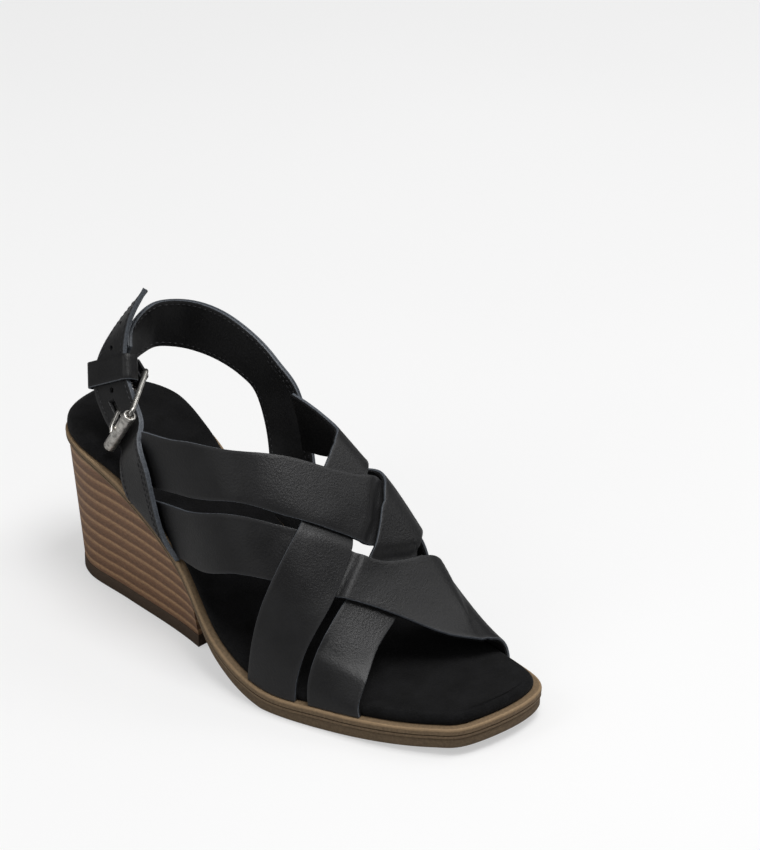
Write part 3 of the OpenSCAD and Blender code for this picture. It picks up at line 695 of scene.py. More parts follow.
def sheet_mesh(name, points, normals, low, high):
    """Closed sheet between two heights above a grid, with each point's distance from the edge."""
    rows, cols = points.shape[:2]
    flip = np.dot(np.cross(points[1, 0] - points[0, 0], points[0, 1] - points[0, 0]), normals[0, 0]) > 0
    bottom, top = points + normals * low, points + normals * high
    vertices = np.concatenate([bottom.reshape(-1, 3), top.reshape(-1, 3)])
    index = np.arange(rows * cols).reshape(rows, cols)
    a, b = index[:-1, :-1].ravel(), index[1:, :-1].ravel()
    c, d = index[1:, 1:].ravel(), index[:-1, 1:].ravel()
    size = rows * cols
    faces = [np.stack([d, c, b, a], 1), np.stack([a, b, c, d], 1) + size]
    loop = np.concatenate([index[0, :-1], index[:-1, -1], index[-1, :0:-1], index[:0:-1, 0]])
    after = np.roll(loop, -1)
    faces.append(np.stack([loop + size, after + size, after, loop], 1))
    faces = np.concatenate(faces)
    if not flip:
        faces = faces[:, ::-1]
    mesh = bpy.data.meshes.new(name)
    mesh.from_pydata(vertices.tolist(), [], faces.tolist())
    cut = 2 * len(a)
    slots = np.zeros(len(faces), int)
    slots[cut:] = 1
    mesh.polygons.foreach_set("material_index", slots)
    across = np.linalg.norm(np.diff(points, axis=1), axis=2)
    along = np.linalg.norm(np.diff(points, axis=0), axis=2)
    over = np.pad(np.cumsum(across, 1), ((0, 0), (1, 0)))
    up = np.pad(np.cumsum(along, 0), ((1, 0), (0, 0)))
    near = np.minimum(np.minimum(over, over[:, -1:] - over), np.minimum(up, up[-1:] - up))
    field = mesh.attributes.new("edge_distance", "FLOAT", "POINT")
    field.data.foreach_set("value", np.tile(near.ravel(), 2).astype(np.float32))
    return mesh


def band_faces(rings, size, closed=False):
    """Faces of the bands between rings of equal size; closed joins the last ring to the first."""
    faces = []
    for k in range(rings if closed else rings - 1):
        low, high = k * size, (k + 1) % rings * size
        for i in range(size):
            j = (i + 1) % size
            faces.append((low + i, low + j, high + j, high + i))
    return faces


def tube(path, radii, sides_count=20, closed=False, side=Vector((0, 0, 1))):
    """Vertices and faces of a round tube along a path that lies square to side."""
    vertices = []
    count = len(path)
    for i, point in enumerate(path):
        before = path[i - 1] if (i or closed) else point
        after = path[(i + 1) % count] if (i < count - 1 or closed) else point
        forward = (after - before).normalized()
        other = side.cross(forward).normalized()
        for k in range(sides_count):
            angle = 2 * math.pi * k / sides_count
            vertices.append(point + (other * math.cos(angle) + side * math.sin(angle)) * radii[i])
    faces = band_faces(count, sides_count, closed)
    if not closed:
        faces.append(tuple(range(sides_count))[::-1])
        faces.append(tuple(range((count - 1) * sides_count, count * sides_count)))
    return vertices, faces


def mesh_from(name, vertices, faces, matrix=None, slots=None, merge=True):
    """Mesh whose faces all point outwards, placed by a matrix. slots gives each face's material."""
    mesh = bpy.data.meshes.new(name)
    mesh.from_pydata([tuple(v) for v in vertices], [], faces)
    if slots is not None:
        mesh.polygons.foreach_set("material_index", slots)
    shape = bmesh.new()
    shape.from_mesh(mesh)
    if merge:
        bmesh.ops.remove_doubles(shape, verts=shape.verts, dist=1e-6)
    bmesh.ops.recalc_face_normals(shape, faces=shape.faces)
    if matrix is not None:
        shape.transform(matrix)
    shape.to_mesh(mesh)
    shape.free()
    return mesh


END_SHARE = 0.1


def stations(ends=26, middle=150):
    """Shares of a layer's length, closer together towards its rounded ends."""
    start = END_SHARE * ((np.arange(ends) + 0.12) / (ends + 0.12)) ** 2
    between = np.linspace(END_SHARE, 1 - END_SHARE, middle + 1)
    return np.concatenate([start, between, 1 - start[::-1]])


def layer_mesh(name, rings, slots, top=None, first=None, bed=False, across=12):
    """A layer of the sole. Each ring, from the bottom up, is an inset and a height at u;
    slots gives the material of each band between rings, and top the height of the upper face."""
    share = stations()
    count = len(share)
    loops = []
    for inset, height in rings:
        outer, inner = sides(inset, bed)
        low = max(outer[0, 0], inner[0, 0]) if first is None else first
        high = min(outer[-1, 0], inner[-1, 0])
        u = mix(low, high, share)
        left = to_frame(np.interp(u, *outer.T), u, height(u))
        right = to_frame(np.interp(u, *inner.T), u, height(u))
        loops.append(np.concatenate([left, right[::-1]]))
    size = 2 * count
    vertices = [point for loop in loops for point in loop]
    faces = band_faces(len(rings), size)
    indices = [slots[k] for k in range(len(rings) - 1) for _ in range(size)]
    for i in range(count - 1):
        faces.append((i, i + 1, size - 2 - i, size - 1 - i))
        indices.append(slots[0])
    base = (len(rings) - 1) * size
    rows = []
    for i in range(count):
        row = [base + i]
        left, right = loops[-1][i], loops[-1][size - 1 - i]
        for k in range(1, across):
            w = k / across
            point = mix(left, right, w)
            if top:
                point = point + np.array([0, 0, top((SOLE_LENGTH / 2 - point[1] / MM), w) * MM])
            row.append(len(vertices))
            vertices.append(point)
        row.append(base + size - 1 - i)
        rows.append(row)
    for i in range(count - 1):
        for k in range(across):
            faces.append((rows[i][k], rows[i][k + 1], rows[i + 1][k + 1], rows[i + 1][k]))
            indices.append(slots[-1])
    faces.append(tuple(rows[0]))
    faces.append(tuple(rows[-1]))
    indices += [slots[-1]] * 2
    return mesh_from(name, vertices, faces, slots=indices, merge=False)


# ---- Stitches and ribs, made by Geometry Nodes ----


def path_group(name, kinds):
    """Node group that takes a path and the named inputs: the group, what it is given, the keys
    of its inputs and the path as a curve."""
    group = bpy.data.node_groups.new(name, "GeometryNodeTree")
    sockets = {
        word: group.interface.new_socket(name=word, in_out="INPUT", socket_type="NodeSocket" + kind)
        for word, kind in {"Path": "Geometry", **kinds}.items()
    }
    group.interface.new_socket(name="Result", in_out="OUTPUT", socket_type="NodeSocketGeometry")
    given = add(group, "NodeGroupInput").outputs
    path = add(group, "GeometryNodeMeshToCurve", links={0: given["Path"]}).outputs[0]
    return group, given, {word: socket.identifier for word, socket in sockets.items()}, path


def finish_group(group, placed, material):
    """Makes the instances real, sets their material and hands them out."""
    real = add(group, "GeometryNodeRealizeInstances", links={0: placed}).outputs[0]
    coloured = add(group, "GeometryNodeSetMaterial", links={"Geometry": real, "Material": material})
    add(group, "NodeGroupOutput", links={0: coloured.outputs[0]})


def stitch_group():
    """Rows of stitches along the edges of a polyline mesh."""
    group, given, keys, path = path_group("Stitch row", {
        "Pitch": "Float", "Stitch": "Vector", "Material": "Material",
    })
    spaced = add(group, "GeometryNodeResampleCurve", {"mode": "LENGTH"},
                 {"Curve": path, "Length": given["Pitch"]}).outputs[0]
    bead = add(group, "GeometryNodeMeshUVSphere", {"Segments": 8, "Rings": 6, "Radius": 0.5}).outputs[0]
    stitch = add(group, "GeometryNodeTransform",
                 links={"Geometry": bead, "Scale": given["Stitch"]}).outputs[0]
    tangent = add(group, "GeometryNodeInputTangent").outputs[0]
    turn = add(group, "FunctionNodeAlignRotationToVector", {"axis": "X"}, {"Vector": tangent}).outputs[0]
    placed = add(group, "GeometryNodeInstanceOnPoints",
                 links={"Points": spaced, "Instance": stitch, "Rotation": turn}).outputs[0]
    finish_group(group, placed, given["Material"])
    return group, keys


def stitched(name, paths, material):
    """One plain mesh of stitches along the paths, each an array of points."""
    vertices, edges = [], []
    for path in paths:
        first = len(vertices)
        vertices += [tuple(point) for point in path]
        edges += [(first + i, first + i + 1) for i in range(len(path) - 1)]
    mesh = bpy.data.meshes.new(name)
    mesh.from_pydata(vertices, edges, [])
    piece = made_object(name, mesh, [])
    group, keys = stitch_group()
    row = piece.modifiers.new("Stitches", "NODES")
    row.node_group = group
    row[keys["Pitch"]] = sizes().stitch_pitch
    row[keys["Stitch"]] = (sizes().stitch_pitch * 0.78, sizes().thread, sizes().thread)
    row[keys["Material"]] = material
    applied(piece)
    smooth(piece.data, 80)
    return piece


# The leather is drawn this far off its lining, so that the two never share a face.
HIDE_GAP = 0.05 * MM


def hide_heights():
    """Lower and upper face of the leather above the strap's own surface."""
    low = sizes().lining_t + HIDE_GAP
    return low, low + sizes().leather_t


def row_along(name, inset, start, end, from_first=True):
    """Stitch path on a strap, inset from one long edge, between two shares of its length."""
    points, normals = strap_grid(name)
    top = hide_heights()[1]
    width = np.linalg.norm(points[:, -1] - points[:, 0], axis=1)
    w = inset / width
    if not from_first:
        w = 1 - w
    cols = points.shape[1] - 1
    k = np.minimum((w * cols).astype(int), cols - 1)
    t = (w * cols - k)[:, None]
    rows = np.arange(len(points))
    path = (mix(points[rows, k], points[rows, k + 1], t)
            + mix(normals[rows, k], normals[rows, k + 1], t) * top)
    return path[int(start * len(points)):int(end * len(points))]


def rib_group():
    """Ribs: tubes along a profile path, repeated side by side along X."""
    group, given, keys, path = path_group("Elastic ribs", {
        "Count": "Int", "Width": "Float", "Radius": "Float", "Material": "Material",
    })
    ring = add(group, "GeometryNodeCurvePrimitiveCircle", {"Resolution": 8},
               {"Radius": given["Radius"]}).outputs[0]
    cord = add(group, "GeometryNodeCurveToMesh", {"Fill Caps": True},
               {"Curve": path, "Profile Curve": ring}).outputs[0]
    ends = []
    for share in (-0.5, 0.5):
        x = add(group, "ShaderNodeMath", {"operation": "MULTIPLY", 1: share}, {0: given["Width"]})
        ends.append(add(group, "ShaderNodeCombineXYZ", links={0: x.outputs[0]}).outputs[0])
    line = add(group, "GeometryNodeMeshLine", {"mode": "END_POINTS"},
               {"Count": given["Count"], "Start Location": ends[0], "Offset": ends[1]}).outputs[0]
    placed = add(group, "GeometryNodeInstanceOnPoints",
                 links={"Points": line, "Instance": cord}).outputs[0]
    finish_group(group, placed, given["Material"])
    return group, keys


# ---- Operators, one for each group of pieces ----


class SANDAL_OT_sole(bpy.types.Operator):
    """Welt and outsole of layered rubber"""

    bl_idname = "sandal.sole"
    bl_label = "Welt and outsole"

    def execute(self, context):
        upper = rim_rubber("Moulded welt rubber", 1.0)
        # The ridge finish is 1.45 times lighter: a painted highlight along the welt's top outer edge.
        ridge = rim_rubber("Moulded welt rubber, painted ridge highlight", 1.45, 0.15)
        # The groove finish is half as light: painted shade in the groove between the welt's two layers.
        groove = rim_rubber("Moulded welt rubber, painted groove shade", 0.5)
        lower = rim_rubber("Moulded outsole rubber", 0.72)

        def level(share):
            return lambda u: mix(welt_bottom(u), rim(u), share)

        rings = [
            (0.9, level(0.0)), (0.25, level(0.03)), (0.05, level(0.12)), (0.05, level(0.30)),
            (0.45, level(0.34)), (0.45, level(0.38)), (0.0, level(0.42)), (-0.05, level(0.62)),
            (-0.1, level(0.80)), (0.05, level(0.92)), (0.35, level(0.98)), (0.9, rim), (5.0, rim),
        ]
        # Finish of each band from the bottom up: 0 plain rubber, 2 painted groove shade, 1 painted ridge
        # highlight.
        slots = [0, 0, 0, 2, 2, 2, 0, 0, 1, 1, 1, 0]
        welt = made_object("welt_rim", layer_mesh("welt_rim", rings, slots), [upper, ridge, groove])
        smooth(welt.data, 60)
        finish_piece(welt, "shoe", ["welt"])

        def top_edge(u):
            return welt_bottom(u) - 0.05

        rings = [
            (2.0, under), (0.9, lambda u: under(u) + 0.15),
            (0.55, lambda u: np.minimum(under(u) + 0.8, top_edge(u))),
            (0.5, lambda u: mix(under(u), top_edge(u), 0.5)),
            (0.55, lambda u: mix(under(u), top_edge(u), 0.85)), (1.0, top_edge),
        ]
        sole = made_object("outsole_tread", layer_mesh("outsole_tread", rings, [0] * 5, first=BREAST + 3.2),
                           [lower])
        smooth(sole.data, 50)
        finish_piece(sole, "shoe", ["outsole"])
        return {"FINISHED"}


def wedge_side(inset, levels, count=90):
    """Points around the wedge, from its back along both sides to its front, at each level."""
    top, foot = sides(1.2 + inset), sides(2.2 + HEEL_TAPER + inset)
    share = 1 - np.cos(np.pi / 2 * (0.05 + np.arange(count + 1) * (count - 0.05) / count) / count)
    u_top = mix(max(top[0][0, 0], top[1][0, 0]), BREAST + 3 - inset, share)
    u_foot = mix(HEEL_RAKE + inset, BREAST - inset, share)
    u_side = mix(max(foot[0][0, 0], foot[1][0, 0]), BREAST - inset, share**HEEL_SQUARE)
    z_top = under(u_top) - 0.22
    rings = []
    for t in levels:
        halves = [
            to_frame(mix(np.interp(u_side, *foot[side].T), np.interp(u_top, *top[side].T), t),
                     mix(u_foot, u_top, t), mix(LIFT_T + 0.05, z_top, t))
            for side in (0, 1)
        ]
        rings.append(np.concatenate([halves[0], halves[1][::-1]]))
    return rings


def stacked_mesh(name, rings):
    """Closed mesh of rings of equal length, from the bottom up."""
    size = len(rings[0])
    faces = band_faces(len(rings), size)
    for base in (0, (len(rings) - 1) * size):
        faces += [(base + i, base + i + 1, base + size - 2 - i, base + size - 1 - i)
                  for i in range(size // 2 - 1)]
    return mesh_from(name, [point for ring in rings for point in ring], faces)


class SANDAL_OT_heel(bpy.types.Operator):
    """Stacked wedge heel and its rubber lift"""

    bl_idname = "sandal.heel"
    bl_label = "Wedge heel"

    def execute(self, context):
        rings = wedge_side(0, np.linspace(0, 1, 13))
        wedge = made_object("stacked_wedge", stacked_mesh("stacked_wedge", rings), [stacked_leather()])
        smooth(wedge.data, 40)
        finish_piece(wedge, "shoe", ["heel_wrap"])
        foot = wedge_side(-0.15, [0])[0]
        middle = foot[:, :2].mean(0)
        levels = [(0.6, 0), (0.15, 0.25), (0, 0.7), (0, LIFT_T - 0.5), (0.15, LIFT_T - 0.15), (0.4, LIFT_T)]
        rings = []
        for inset, z in levels:
            inward = middle - foot[:, :2]
            inward /= np.linalg.norm(inward, axis=1)[:, None]
            rings.append(np.column_stack([foot[:, :2] + inward * inset * MM, np.full(len(foot), z * MM)]))
        lift = made_object("heel_lift", stacked_mesh("heel_lift", rings), [lift_rubber()])
        smooth(lift.data, 50)
        finish_piece(lift, "shoe", ["top_lift"])
        return {"FINISHED"}


def bed_hollow(u, w):
    """How far the footbed's face lies above or below its edges: a heel cup and a soft crown."""
    cup = -1.1 * np.exp(-(((u - 30) / 26) ** 2)) * (1 - (2 * w - 1) ** 2)
    ball = -0.5 * np.exp(-(((u - 165) / 34) ** 2)) * (1 - (2 * w - 1) ** 2)
    swell = 0.55 * (1 - (2 * w - 1) ** 6)
    return cup + ball + swell


class SANDAL_OT_footbed(bpy.types.Operator):
    """Padded footbed covered in suede"""

    bl_idname = "sandal.footbed"
    bl_label = "Footbed"

    def execute(self, context):
        def level(share, less=0.0):
            return lambda u: rim(u) + bed_thickness(u) * share - less

        rings = [
            (0.7, level(0, -0.24)), (0.2, level(0.08)), (0.0, level(0.25)), (-0.05, level(0.45)),
            (0.1, level(0.62)), (0.5, level(0.78)), (1.2, level(0.92)), (2.2, level(0.99)), (3.2, level(1.0)),
        ]
        mesh = layer_mesh("footbed_cushion", rings, [0] * 8, top=bed_hollow, bed=True, across=28)
        bed = made_object("footbed_cushion", mesh, [suede("Pigskin suede", 1.1)])
        smooth(bed.data, 60)
        finish_piece(bed, "shoe", ["footbed_cover"])
        return {"FINISHED"}


class SANDAL_OT_straps(bpy.types.Operator):
    """Woven straps of leather, each with its suede lining"""

    bl_idname = "sandal.straps"
    bl_label = "Woven straps"

    def execute(self, context):
        hide, paint, lining = smooth_leather(), edge_paint(), suede()
        low, high = hide_heights()
        for name in STRAPS:
            points, normals = strap_grid(name)
            leather = made_object(name + "_hide", sheet_mesh(name + "_hide", points, normals, low, high),
                                  [hide, paint])
            bevelled(leather, 0.3 * MM)
            finish_piece(leather, "shoe", [name])
            mesh = sheet_mesh(name + "_suede", points, normals, 0, sizes().lining_t)
            under_side = made_object(name + "_suede", mesh, [lining, lining])
            bevelled(under_side, 0.2 * MM, 2)
            finish_piece(under_side, "shoe", [LININGS[name]])
        return {"FINISHED"}


BILLET_HOLES = [0.66, 0.82, 0.9]
HOLE_D = 2.6
SLOT = (3.4, 8.5, 18)
SLOT_AT = 12.5


def billet_at(share):
    """Middle of the billet just before, at and just after a share of it, and its two edges there."""
    pairs = SLING["billet_strap"]
    s = np.array([share - 0.02, share, share + 0.02])
    middle = sling_point(pairs, s, np.full(3, 0.5))
    return middle, sling_point(pairs, s, np.zeros(3))[1], sling_point(pairs, s, np.ones(3))[1]


def billet_cutters():
    """One mesh of the punched holes and the slot for the prong."""
    shape = bmesh.new()
    for share in BILLET_HOLES:
        middle, upper, lower = billet_at(share)
        out = Vector(np.cross(middle[2] - middle[0], lower - upper)).normalized()
        turn = out.to_track_quat("Z", "Y").to_matrix().to_4x4()
        bmesh.ops.create_cone(shape, cap_ends=True, segments=28, radius1=HOLE_D / 2 * MM,
                              radius2=HOLE_D / 2 * MM, depth=9 * MM,
                              matrix=Matrix.Translation(Vector(middle[1])) @ turn)
    width, length, depth = SLOT
    place = AT_BUCKLE @ Matrix.Translation((0, (SLOT_AT + length / 2) * MM, 0))
    bmesh.ops.create_cube(shape, size=1, matrix=place @ Matrix.Diagonal(
        (width * MM, length * MM, depth * MM, 1)))
    mesh = bpy.data.meshes.new("cutters")
    shape.to_mesh(mesh)
    shape.free()
    return made_object("cutters", mesh, [])


def cut(piece, cutter):
    made = piece.modifiers.new("Holes", "BOOLEAN")
    made.object = cutter
    made.operation = "DIFFERENCE"
    made.solver = "EXACT"
    made.material_mode = "TRANSFER"
    return applied(piece)


# Stitch rows: how far in from the edge, where they start, and the share of the billet where the
# roller runs, which they leave free.
EDGE_ROW, SECOND_ROW = 1.8 * MM, 3.6 * MM
ROW_START = 0.015
UNDER_ROLLER = (0.455, 0.575)


class SANDAL_OT_sling(bpy.types.Operator):
    """Buckle strap and heel strap, with their linings, holes and stitching"""

    bl_idname = "sandal.sling"
    bl_label = "Sling straps"

    def execute(self, context):
        hide, paint = smooth_leather("Finished cowhide, sling"), edge_paint()
        lining = suede("Split suede, sling")
        low, high = hide_heights()
        cutter = billet_cutters()
        for name in SLING:
            points, normals = strap_grid(name)
            parts = [("hide", low, high, [hide, paint], "leather", [name]),
                     ("suede", 0, sizes().lining_t, [lining, paint], "suede_lining", [LININGS[name]])]
            for word, bottom, top, finishes, slot, nodes in parts:
                mesh = sheet_mesh(f"{name}_{word}", points, normals, bottom, top)
                piece = made_object(f"{name}_{word}", mesh, finishes)
                if name == "billet_strap":
                    cut(piece, cutter)
                bevelled(piece, (0.3 if word == "hide" else 0.15) * MM, 2)
                finish_piece(piece, "shoe", nodes)
        bpy.data.objects.remove(cutter)
        paths = [
            row_along("billet_strap", SECOND_ROW, ROW_START, 0.34),
            row_along("heel_strap", SECOND_ROW, ROW_START, 0.36),
        ]
        for first in (True, False):
            paths += [
                row_along("billet_strap", EDGE_ROW, ROW_START, UNDER_ROLLER[0], first),
                row_along("billet_strap", EDGE_ROW, UNDER_ROLLER[1], 0.97, first),
                row_along("heel_strap", EDGE_ROW, ROW_START, 0.98, first),
            ]
        rows = stitched("sling_stitches", paths, sewing_thread())
        finish_piece(rows, "shoe")
        return {"FINISHED"}


def wire_loop(width, reach, corner, steps=12):
    """Rounded rectangle in the buckle's own plane, with its rear bar on the X axis."""
    half = width / 2
    path = []
    for x, y, turn in ((half, 0, -90), (half, reach, 0), (-half, reach, 90), (-half, 0, 180)):
        centre = Vector((x - math.copysign(corner, x), y + (corner if y == 0 else -corner), 0))
        for k in range(steps + 1):
            angle = math.radians(turn + 90 * k / steps)
            path.append(centre + corner * Vector((math.cos(angle), math.sin(angle), 0)))
    return path


ROLLER_LENGTH, ROLLER_RADIUS = 24 * MM, 2.75 * MM
WIRE_CORNER = 2.6 * MM
RUNNING_GAP = 0.06 * MM
PRONG_RADIUS = 0.95 * MM


class SANDAL_OT_buckle(bpy.types.Operator):
    """Wire buckle with its roller and prong"""

    bl_idname = "sandal.buckle"
    bl_label = "Roller buckle"

    def execute(self, context):
        plated = antique_silver()
        wire = sizes().wire
        radius = ROLLER_RADIUS
        path = wire_loop(ROLLER_LENGTH + wire + 0.8 * MM, REACH, WIRE_CORNER)
        vertices, faces = tube(path, [wire / 2] * len(path), 20, closed=True)
        loop = made_object("buckle_wire", mesh_from("buckle_wire", vertices, faces, AT_BUCKLE), [plated])
        smooth(loop.data, 60)
        finish_piece(loop, "buckle_frame", ["buckle_frame"])

        bore = wire / 2 + RUNNING_GAP
        profile = [(-0.5, bore), (-0.44, bore), (-0.44, 2.05 * MM), (-0.5, 2.05 * MM),
                   (-0.5, radius - 0.35 * MM), (-0.494, radius - 0.1 * MM), (-0.484, radius)]
        outline = profile + [(-x, r) for x, r in reversed(profile)]
        count = 56
        vertices = [Vector((x * ROLLER_LENGTH, REACH + r * math.cos(a), r * math.sin(a)))
                    for x, r in outline for a in (2 * math.pi * k / count for k in range(count))]
        faces = band_faces(len(outline), count, closed=True)
        mesh = mesh_from("roller_tube", vertices, faces, AT_BUCKLE)
        roller = made_object("roller_tube", mesh, [antique_silver("Antique silver tube, rubbed", 0.34)])
        smooth(roller.data, 40)
        finish_piece(roller, "roller", ["buckle_roller"])

        thick = PRONG_RADIUS
        eye = wire / 2 + RUNNING_GAP + thick
        ring = [Vector((0, eye * math.cos(a), eye * math.sin(a)))
                for a in (2 * math.pi * k / 32 for k in range(32))]
        vertices, faces = tube(ring, [thick] * 32, 14, closed=True, side=Vector((1, 0, 0)))
        rise = radius + thick + 0.15 * MM
        tip = REACH + 3.0 * MM
        shares = [k / 24 for k in range(25)]
        # Over its last tenth the prong dips and tapers to its point.
        point = [max(0, s - 0.9) * 10 for s in shares]
        bar = [Vector((0, tip * s, eye + (rise - eye) * ease(s * tip / REACH) - 0.5 * MM * end))
               for s, end in zip(shares, point)]
        radii = [thick * (1 - 0.45 * end) for end in point]
        more, more_faces = tube(bar, radii, 14, side=Vector((1, 0, 0)))
        faces += [tuple(i + len(vertices) for i in face) for face in more_faces]
        prong = made_object("prong_pin", mesh_from("prong_pin", vertices + more, faces, AT_BUCKLE), [plated])
        smooth(prong.data, 60)
        finish_piece(prong, "prong", ["buckle_prong"])
        return {"FINISHED"}


GORE_TURN = math.radians(48)
GORE_TAIL = 7.3 * MM
RIB_COUNT, RIB_SPAN, RIB_RADIUS = 15, 17.8 * MM, 0.66 * MM
PRONG_SLOT = (2.4 * MM, 3.4 * MM)


class SANDAL_OT_elastic(bpy.types.Operator):
    """Ribbed elastic folded around the rear bar"""

    bl_idname = "sandal.elastic"
    bl_label = "Elastic"

    def execute(self, context):
        radius = sizes().wire / 2 + 0.65 * MM
        turn = [math.pi * (0.5 - k / 20) for k in range(21)]
        outer = [Vector((0, GORE_TAIL * (k / 6 - 1), radius)) for k in range(6)]
        around = [Vector((0, radius * math.cos(a), radius * math.sin(a))) for a in turn]
        inner = [Vector((0, -GORE_TAIL * k / 6, -radius)) for k in range(1, 7)]
        path = outer + around + inner
        mesh = bpy.data.meshes.new("elastic_ribs")
        mesh.from_pydata([tuple(p) for p in path], [(i, i + 1) for i in range(len(path) - 1)], [])
        ribs = made_object("elastic_ribs", mesh, [])
        group, keys = rib_group()
        made = ribs.modifiers.new("Ribs", "NODES")
        made.node_group = group
        values = {"Count": RIB_COUNT, "Width": RIB_SPAN, "Radius": RIB_RADIUS, "Material": knitted_elastic()}
        for word, value in values.items():
            made[keys[word]] = value
        applied(ribs)
        shape = bmesh.new()
        shape.from_mesh(ribs.data)
        slot_faces = [f for f in shape.faces if abs(f.calc_center_median().x) < PRONG_SLOT[0]
                      and f.calc_center_median().y > -PRONG_SLOT[1]]
        bmesh.ops.delete(shape, geom=slot_faces, context="FACES")
        bmesh.ops.holes_fill(shape, edges=shape.edges, sides=8)
        bmesh.ops.recalc_face_normals(shape, faces=shape.faces)
        shape.transform(AT_BUCKLE @ Matrix.Rotation(-GORE_TURN, 4, "X"))
        shape.to_mesh(ribs.data)
        shape.free()
        smooth(ribs.data, 70)
        finish_piece(ribs, "shoe", ["elastic_gore"])
        return {"FINISHED"}


KEEPER_AT = 0.735
KEEPER_HALF, KEEPER_WIDTH = (10 * MM, 1.1 * MM), 11 * MM


class SANDAL_OT_keeper(bpy.types.Operator):
    """Leather keeper loop"""

    bl_idname = "sandal.keeper"
    bl_label = "Keeper"

    def execute(self, context):
        hide, paint = smooth_leather("Finished cowhide, keeper"), edge_paint()
        middle, upper, lower = billet_at(KEEPER_AT)
        forward = Vector(middle[2] - middle[0]).normalized()
        wide = Vector(upper - lower)
        wide = (wide - forward * wide.dot(forward)).normalized()
        out = forward.cross(wide)
        centre = Vector((upper + lower) / 2) + out * 0.4 * MM
        place = Matrix.Translation(centre) @ Matrix((wide, out, forward)).transposed().to_4x4()
        half_w, half_t = KEEPER_HALF
        outline = []
        for x, y, turn in ((1, -1, -90), (1, 1, 0), (-1, 1, 90), (-1, -1, 180)):
            for k in range(13):
                angle = math.radians(turn + 90 * k / 12)
                outline.append((x * half_w, y * half_t, math.cos(angle), math.sin(angle)))
        # Section of the band: distance out from its core in millimetres, share of its width
        walls = [(2.05, -0.5), (2.85, -0.5), (3.05, -0.475), (3.05, 0.475), (2.85, 0.5), (2.05, 0.5)]
        vertices = []
        for x, y, c, q in outline:
            vertices += [Vector((x + c * r * MM, y + q * r * MM, z * KEEPER_WIDTH)) for r, z in walls]
        faces = band_faces(len(outline), len(walls), closed=True)
        slots = [1, 1, 0, 0, 1, 0] * len(outline)
        mesh = bpy.data.meshes.new("keeper_band")
        mesh.from_pydata([tuple(v) for v in vertices], [], faces)
        mesh.polygons.foreach_set("material_index", slots)
        shape = bmesh.new()
        shape.from_mesh(mesh)
        long_edges = [e for e in shape.edges if e.calc_length() > 3 * MM]
        bmesh.ops.subdivide_edges(shape, edges=long_edges, cuts=6, use_grid_fill=True)
        bmesh.ops.recalc_face_normals(shape, faces=shape.faces)
        shape.transform(place)
        shape.to_mesh(mesh)
        shape.free()
        field = mesh.attributes.new("edge_distance", "FLOAT", "POINT")
        field.data.foreach_set("value", [4 * MM] * len(mesh.vertices))
        band = made_object("keeper_band", mesh, [hide, paint])
        smooth(band.data, 50)
        finish_piece(band, "keeper", ["keeper_loop"])
        return {"FINISHED"}


class SANDAL_OT_inside(bpy.types.Operator):
    """Finishes of the parts that stay inside the sole"""

    bl_idname = "sandal.inside"
    bl_label = "Hidden parts"

    def execute(self, context):
        steel = plain_stock("Rolled carbon steel", "#8c8e92", 3 * MM, 0.35, 1.0)
        finishes = {
            "wedge_core": plain_stock("Injection moulded ABS", "#6b5d4a", 8 * MM, 0.55),
            "insole_board": plain_stock("Pressed cellulose board", "#9a8a70", 1.5 * MM, 0.9),
            "footbed_foam": plain_stock("Latex foam", "#cfc6b2", 0.8 * MM, 0.95),
            "steel_shank": steel, "shank_rivets": steel, "heel_screws": steel, "lift_nails": steel,
        }
        for name, material in finishes.items():
            node = frame["nodes"][name]
            node.data.materials.clear()
            node.data.materials.append(material)
        return {"FINISHED"}


# ---- Stage ----

AZIMUTH, ELEVATION = -45.9, 28.7
DISTANCE = 1.758
AIM = Vector((0.1239, 0.0635, 0.030))
LENS = 165.5
LAMP_AIM = Vector((0, 0, 0.04))
BACKDROP = 0.913
FLOOR_GLOW = 0.48
SKY_FILL, SKY_MIRRORED = 0.34, 0.07


def placed_looking(name, data, azimuth, elevation, distance, aim):
    """Object at a distance from a point, turned to look at it."""
    holder = bpy.data.objects.new(name, data)
    bpy.context.scene.collection.objects.link(holder)
    a, e = math.radians(azimuth), math.radians(elevation)
    back = Vector((math.sin(a) * math.cos(e), -math.cos(a) * math.cos(e), math.sin(e)))
    holder.location = aim + back * distance
    holder.rotation_mode = "QUATERNION"
    holder.rotation_quaternion = back.to_track_quat("Z", "Y")
    return holder


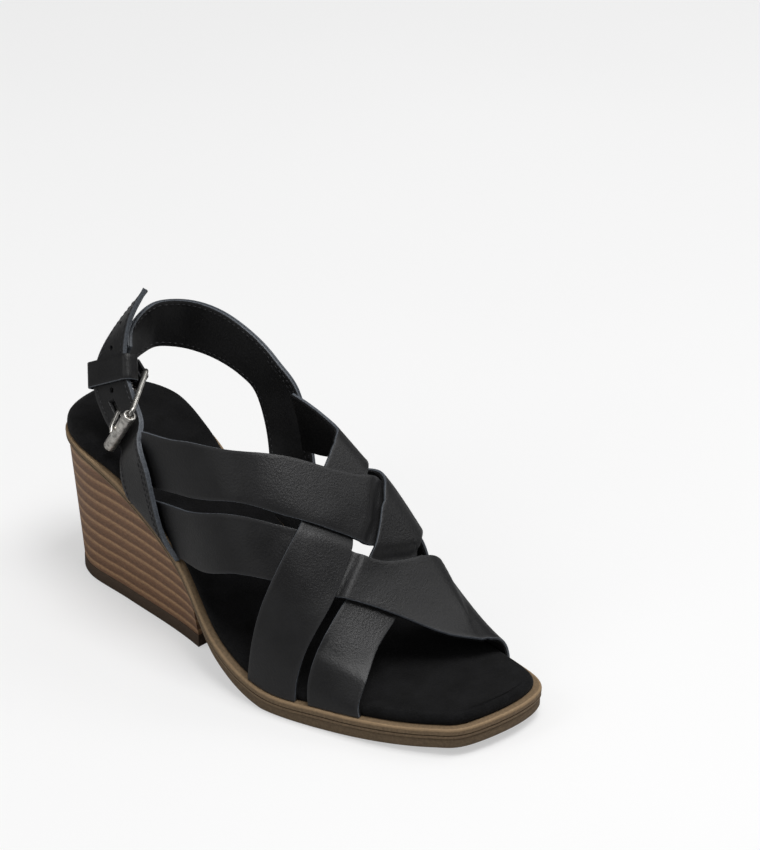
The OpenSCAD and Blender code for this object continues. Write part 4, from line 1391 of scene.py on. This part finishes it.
class SANDAL_OT_stage(bpy.types.Operator):
    """Floor, lights, world and camera"""

    bl_idname = "sandal.stage"
    bl_label = "Studio"

    def execute(self, context):
        scene = context.scene
        floor = bpy.data.meshes.new("floor")
        size = 12
        floor.from_pydata([(-size, -size, 0), (size, -size, 0), (size, size, 0), (-size, size, 0)], [],
                          [(0, 1, 2, 3)])
        material, tree, shader, place = new_material("Painted studio floor")
        mottling = grain(tree, place, 0.4, 2)
        painted(tree, shader, mottling, [(0.3, (0.46, 0.46, 0.46, 1)), (0.7, (0.48, 0.48, 0.48, 1))])
        seen = add(tree, "ShaderNodeLightPath").outputs["Is Camera Ray"]
        tree.links.new(spread(tree, seen, 0.0, FLOOR_GLOW, 0.0, 1.0), shader.inputs["Emission Strength"])
        set_inputs(shader, {"Emission Color": (1, 1, 1, 1), "Roughness": 0.9, "Specular IOR Level": 0.1})
        ground = made_object("floor", floor, [material])
        ground.location.z = -0.0002

        world = scene.world = scene.world or bpy.data.worlds.new("Studio")
        world.use_nodes = True
        tree = world.node_tree
        background = tree.nodes["Background"]
        rays = add(tree, "ShaderNodeLightPath").outputs
        mirrored = add(tree, "ShaderNodeMix", {"data_type": "FLOAT", 2: SKY_FILL, 3: SKY_MIRRORED},
                       {0: rays["Is Glossy Ray"]}).outputs[0]
        tone = add(tree, "ShaderNodeMix", {"data_type": "FLOAT", 3: BACKDROP},
                   {0: rays["Is Camera Ray"], 2: mirrored}).outputs[0]
        background.inputs["Color"].default_value = (1, 1, 1, 1)
        tree.links.new(tone, background.inputs["Strength"])

        def softbox(name, azimuth, elevation, distance, extent, power):
            lamp = bpy.data.lights.new(name, "AREA")
            lamp.shape = "RECTANGLE"
            lamp.size, lamp.size_y = extent
            lamp.energy = power
            placed_looking(name, lamp, azimuth, elevation, distance, LAMP_AIM)

        softbox("top", 10, 74, 1.7, (0.9, 0.8), 18)
        softbox("key", 60, 40, 1.8, (0.8, 0.8), 4)
        softbox("side", -110, 35, 1.8, (0.6, 1.0), 4)

        camera = bpy.data.cameras.new("camera")
        camera.lens = LENS
        camera.clip_start, camera.clip_end = 0.05, 50
        scene.camera = placed_looking("camera", camera, AZIMUTH, ELEVATION, DISTANCE, AIM)
        scene.view_settings.view_transform = "Standard"
        return {"FINISHED"}


class SANDAL_PT_panel(bpy.types.Panel):
    """Lists the pieces of the sandal and their sizes and colours"""

    bl_idname = "SANDAL_PT_panel"
    bl_label = "Sandal"
    bl_space_type = "VIEW_3D"
    bl_region_type = "UI"
    bl_category = "Sandal"

    def draw(self, context):
        for group in (context.scene.sandal_sizes, context.scene.sandal_colours):
            box = self.layout.box()
            for name in group.__annotations__:
                box.prop(group, name)
        for operator in OPERATORS:
            self.layout.operator(operator.bl_idname)


OPERATORS = [
    SANDAL_OT_sole, SANDAL_OT_heel, SANDAL_OT_footbed, SANDAL_OT_straps, SANDAL_OT_sling,
    SANDAL_OT_buckle, SANDAL_OT_elastic, SANDAL_OT_keeper, SANDAL_OT_inside, SANDAL_OT_stage,
]
CLASSES = [SandalSizes, SandalColours, *OPERATORS, SANDAL_PT_panel]


def register():
    for item in CLASSES:
        bpy.utils.register_class(item)
    bpy.types.Scene.sandal_sizes = PointerProperty(type=SandalSizes)
    bpy.types.Scene.sandal_colours = PointerProperty(type=SandalColours)


def unregister():
    del bpy.types.Scene.sandal_sizes
    del bpy.types.Scene.sandal_colours
    for item in reversed(CLASSES):
        bpy.utils.unregister_class(item)


def main():
    register()
    for operator in OPERATORS:
        group, name = operator.bl_idname.split(".")
        getattr(getattr(bpy.ops, group), name)()


if __name__ == "__main__":
    main()
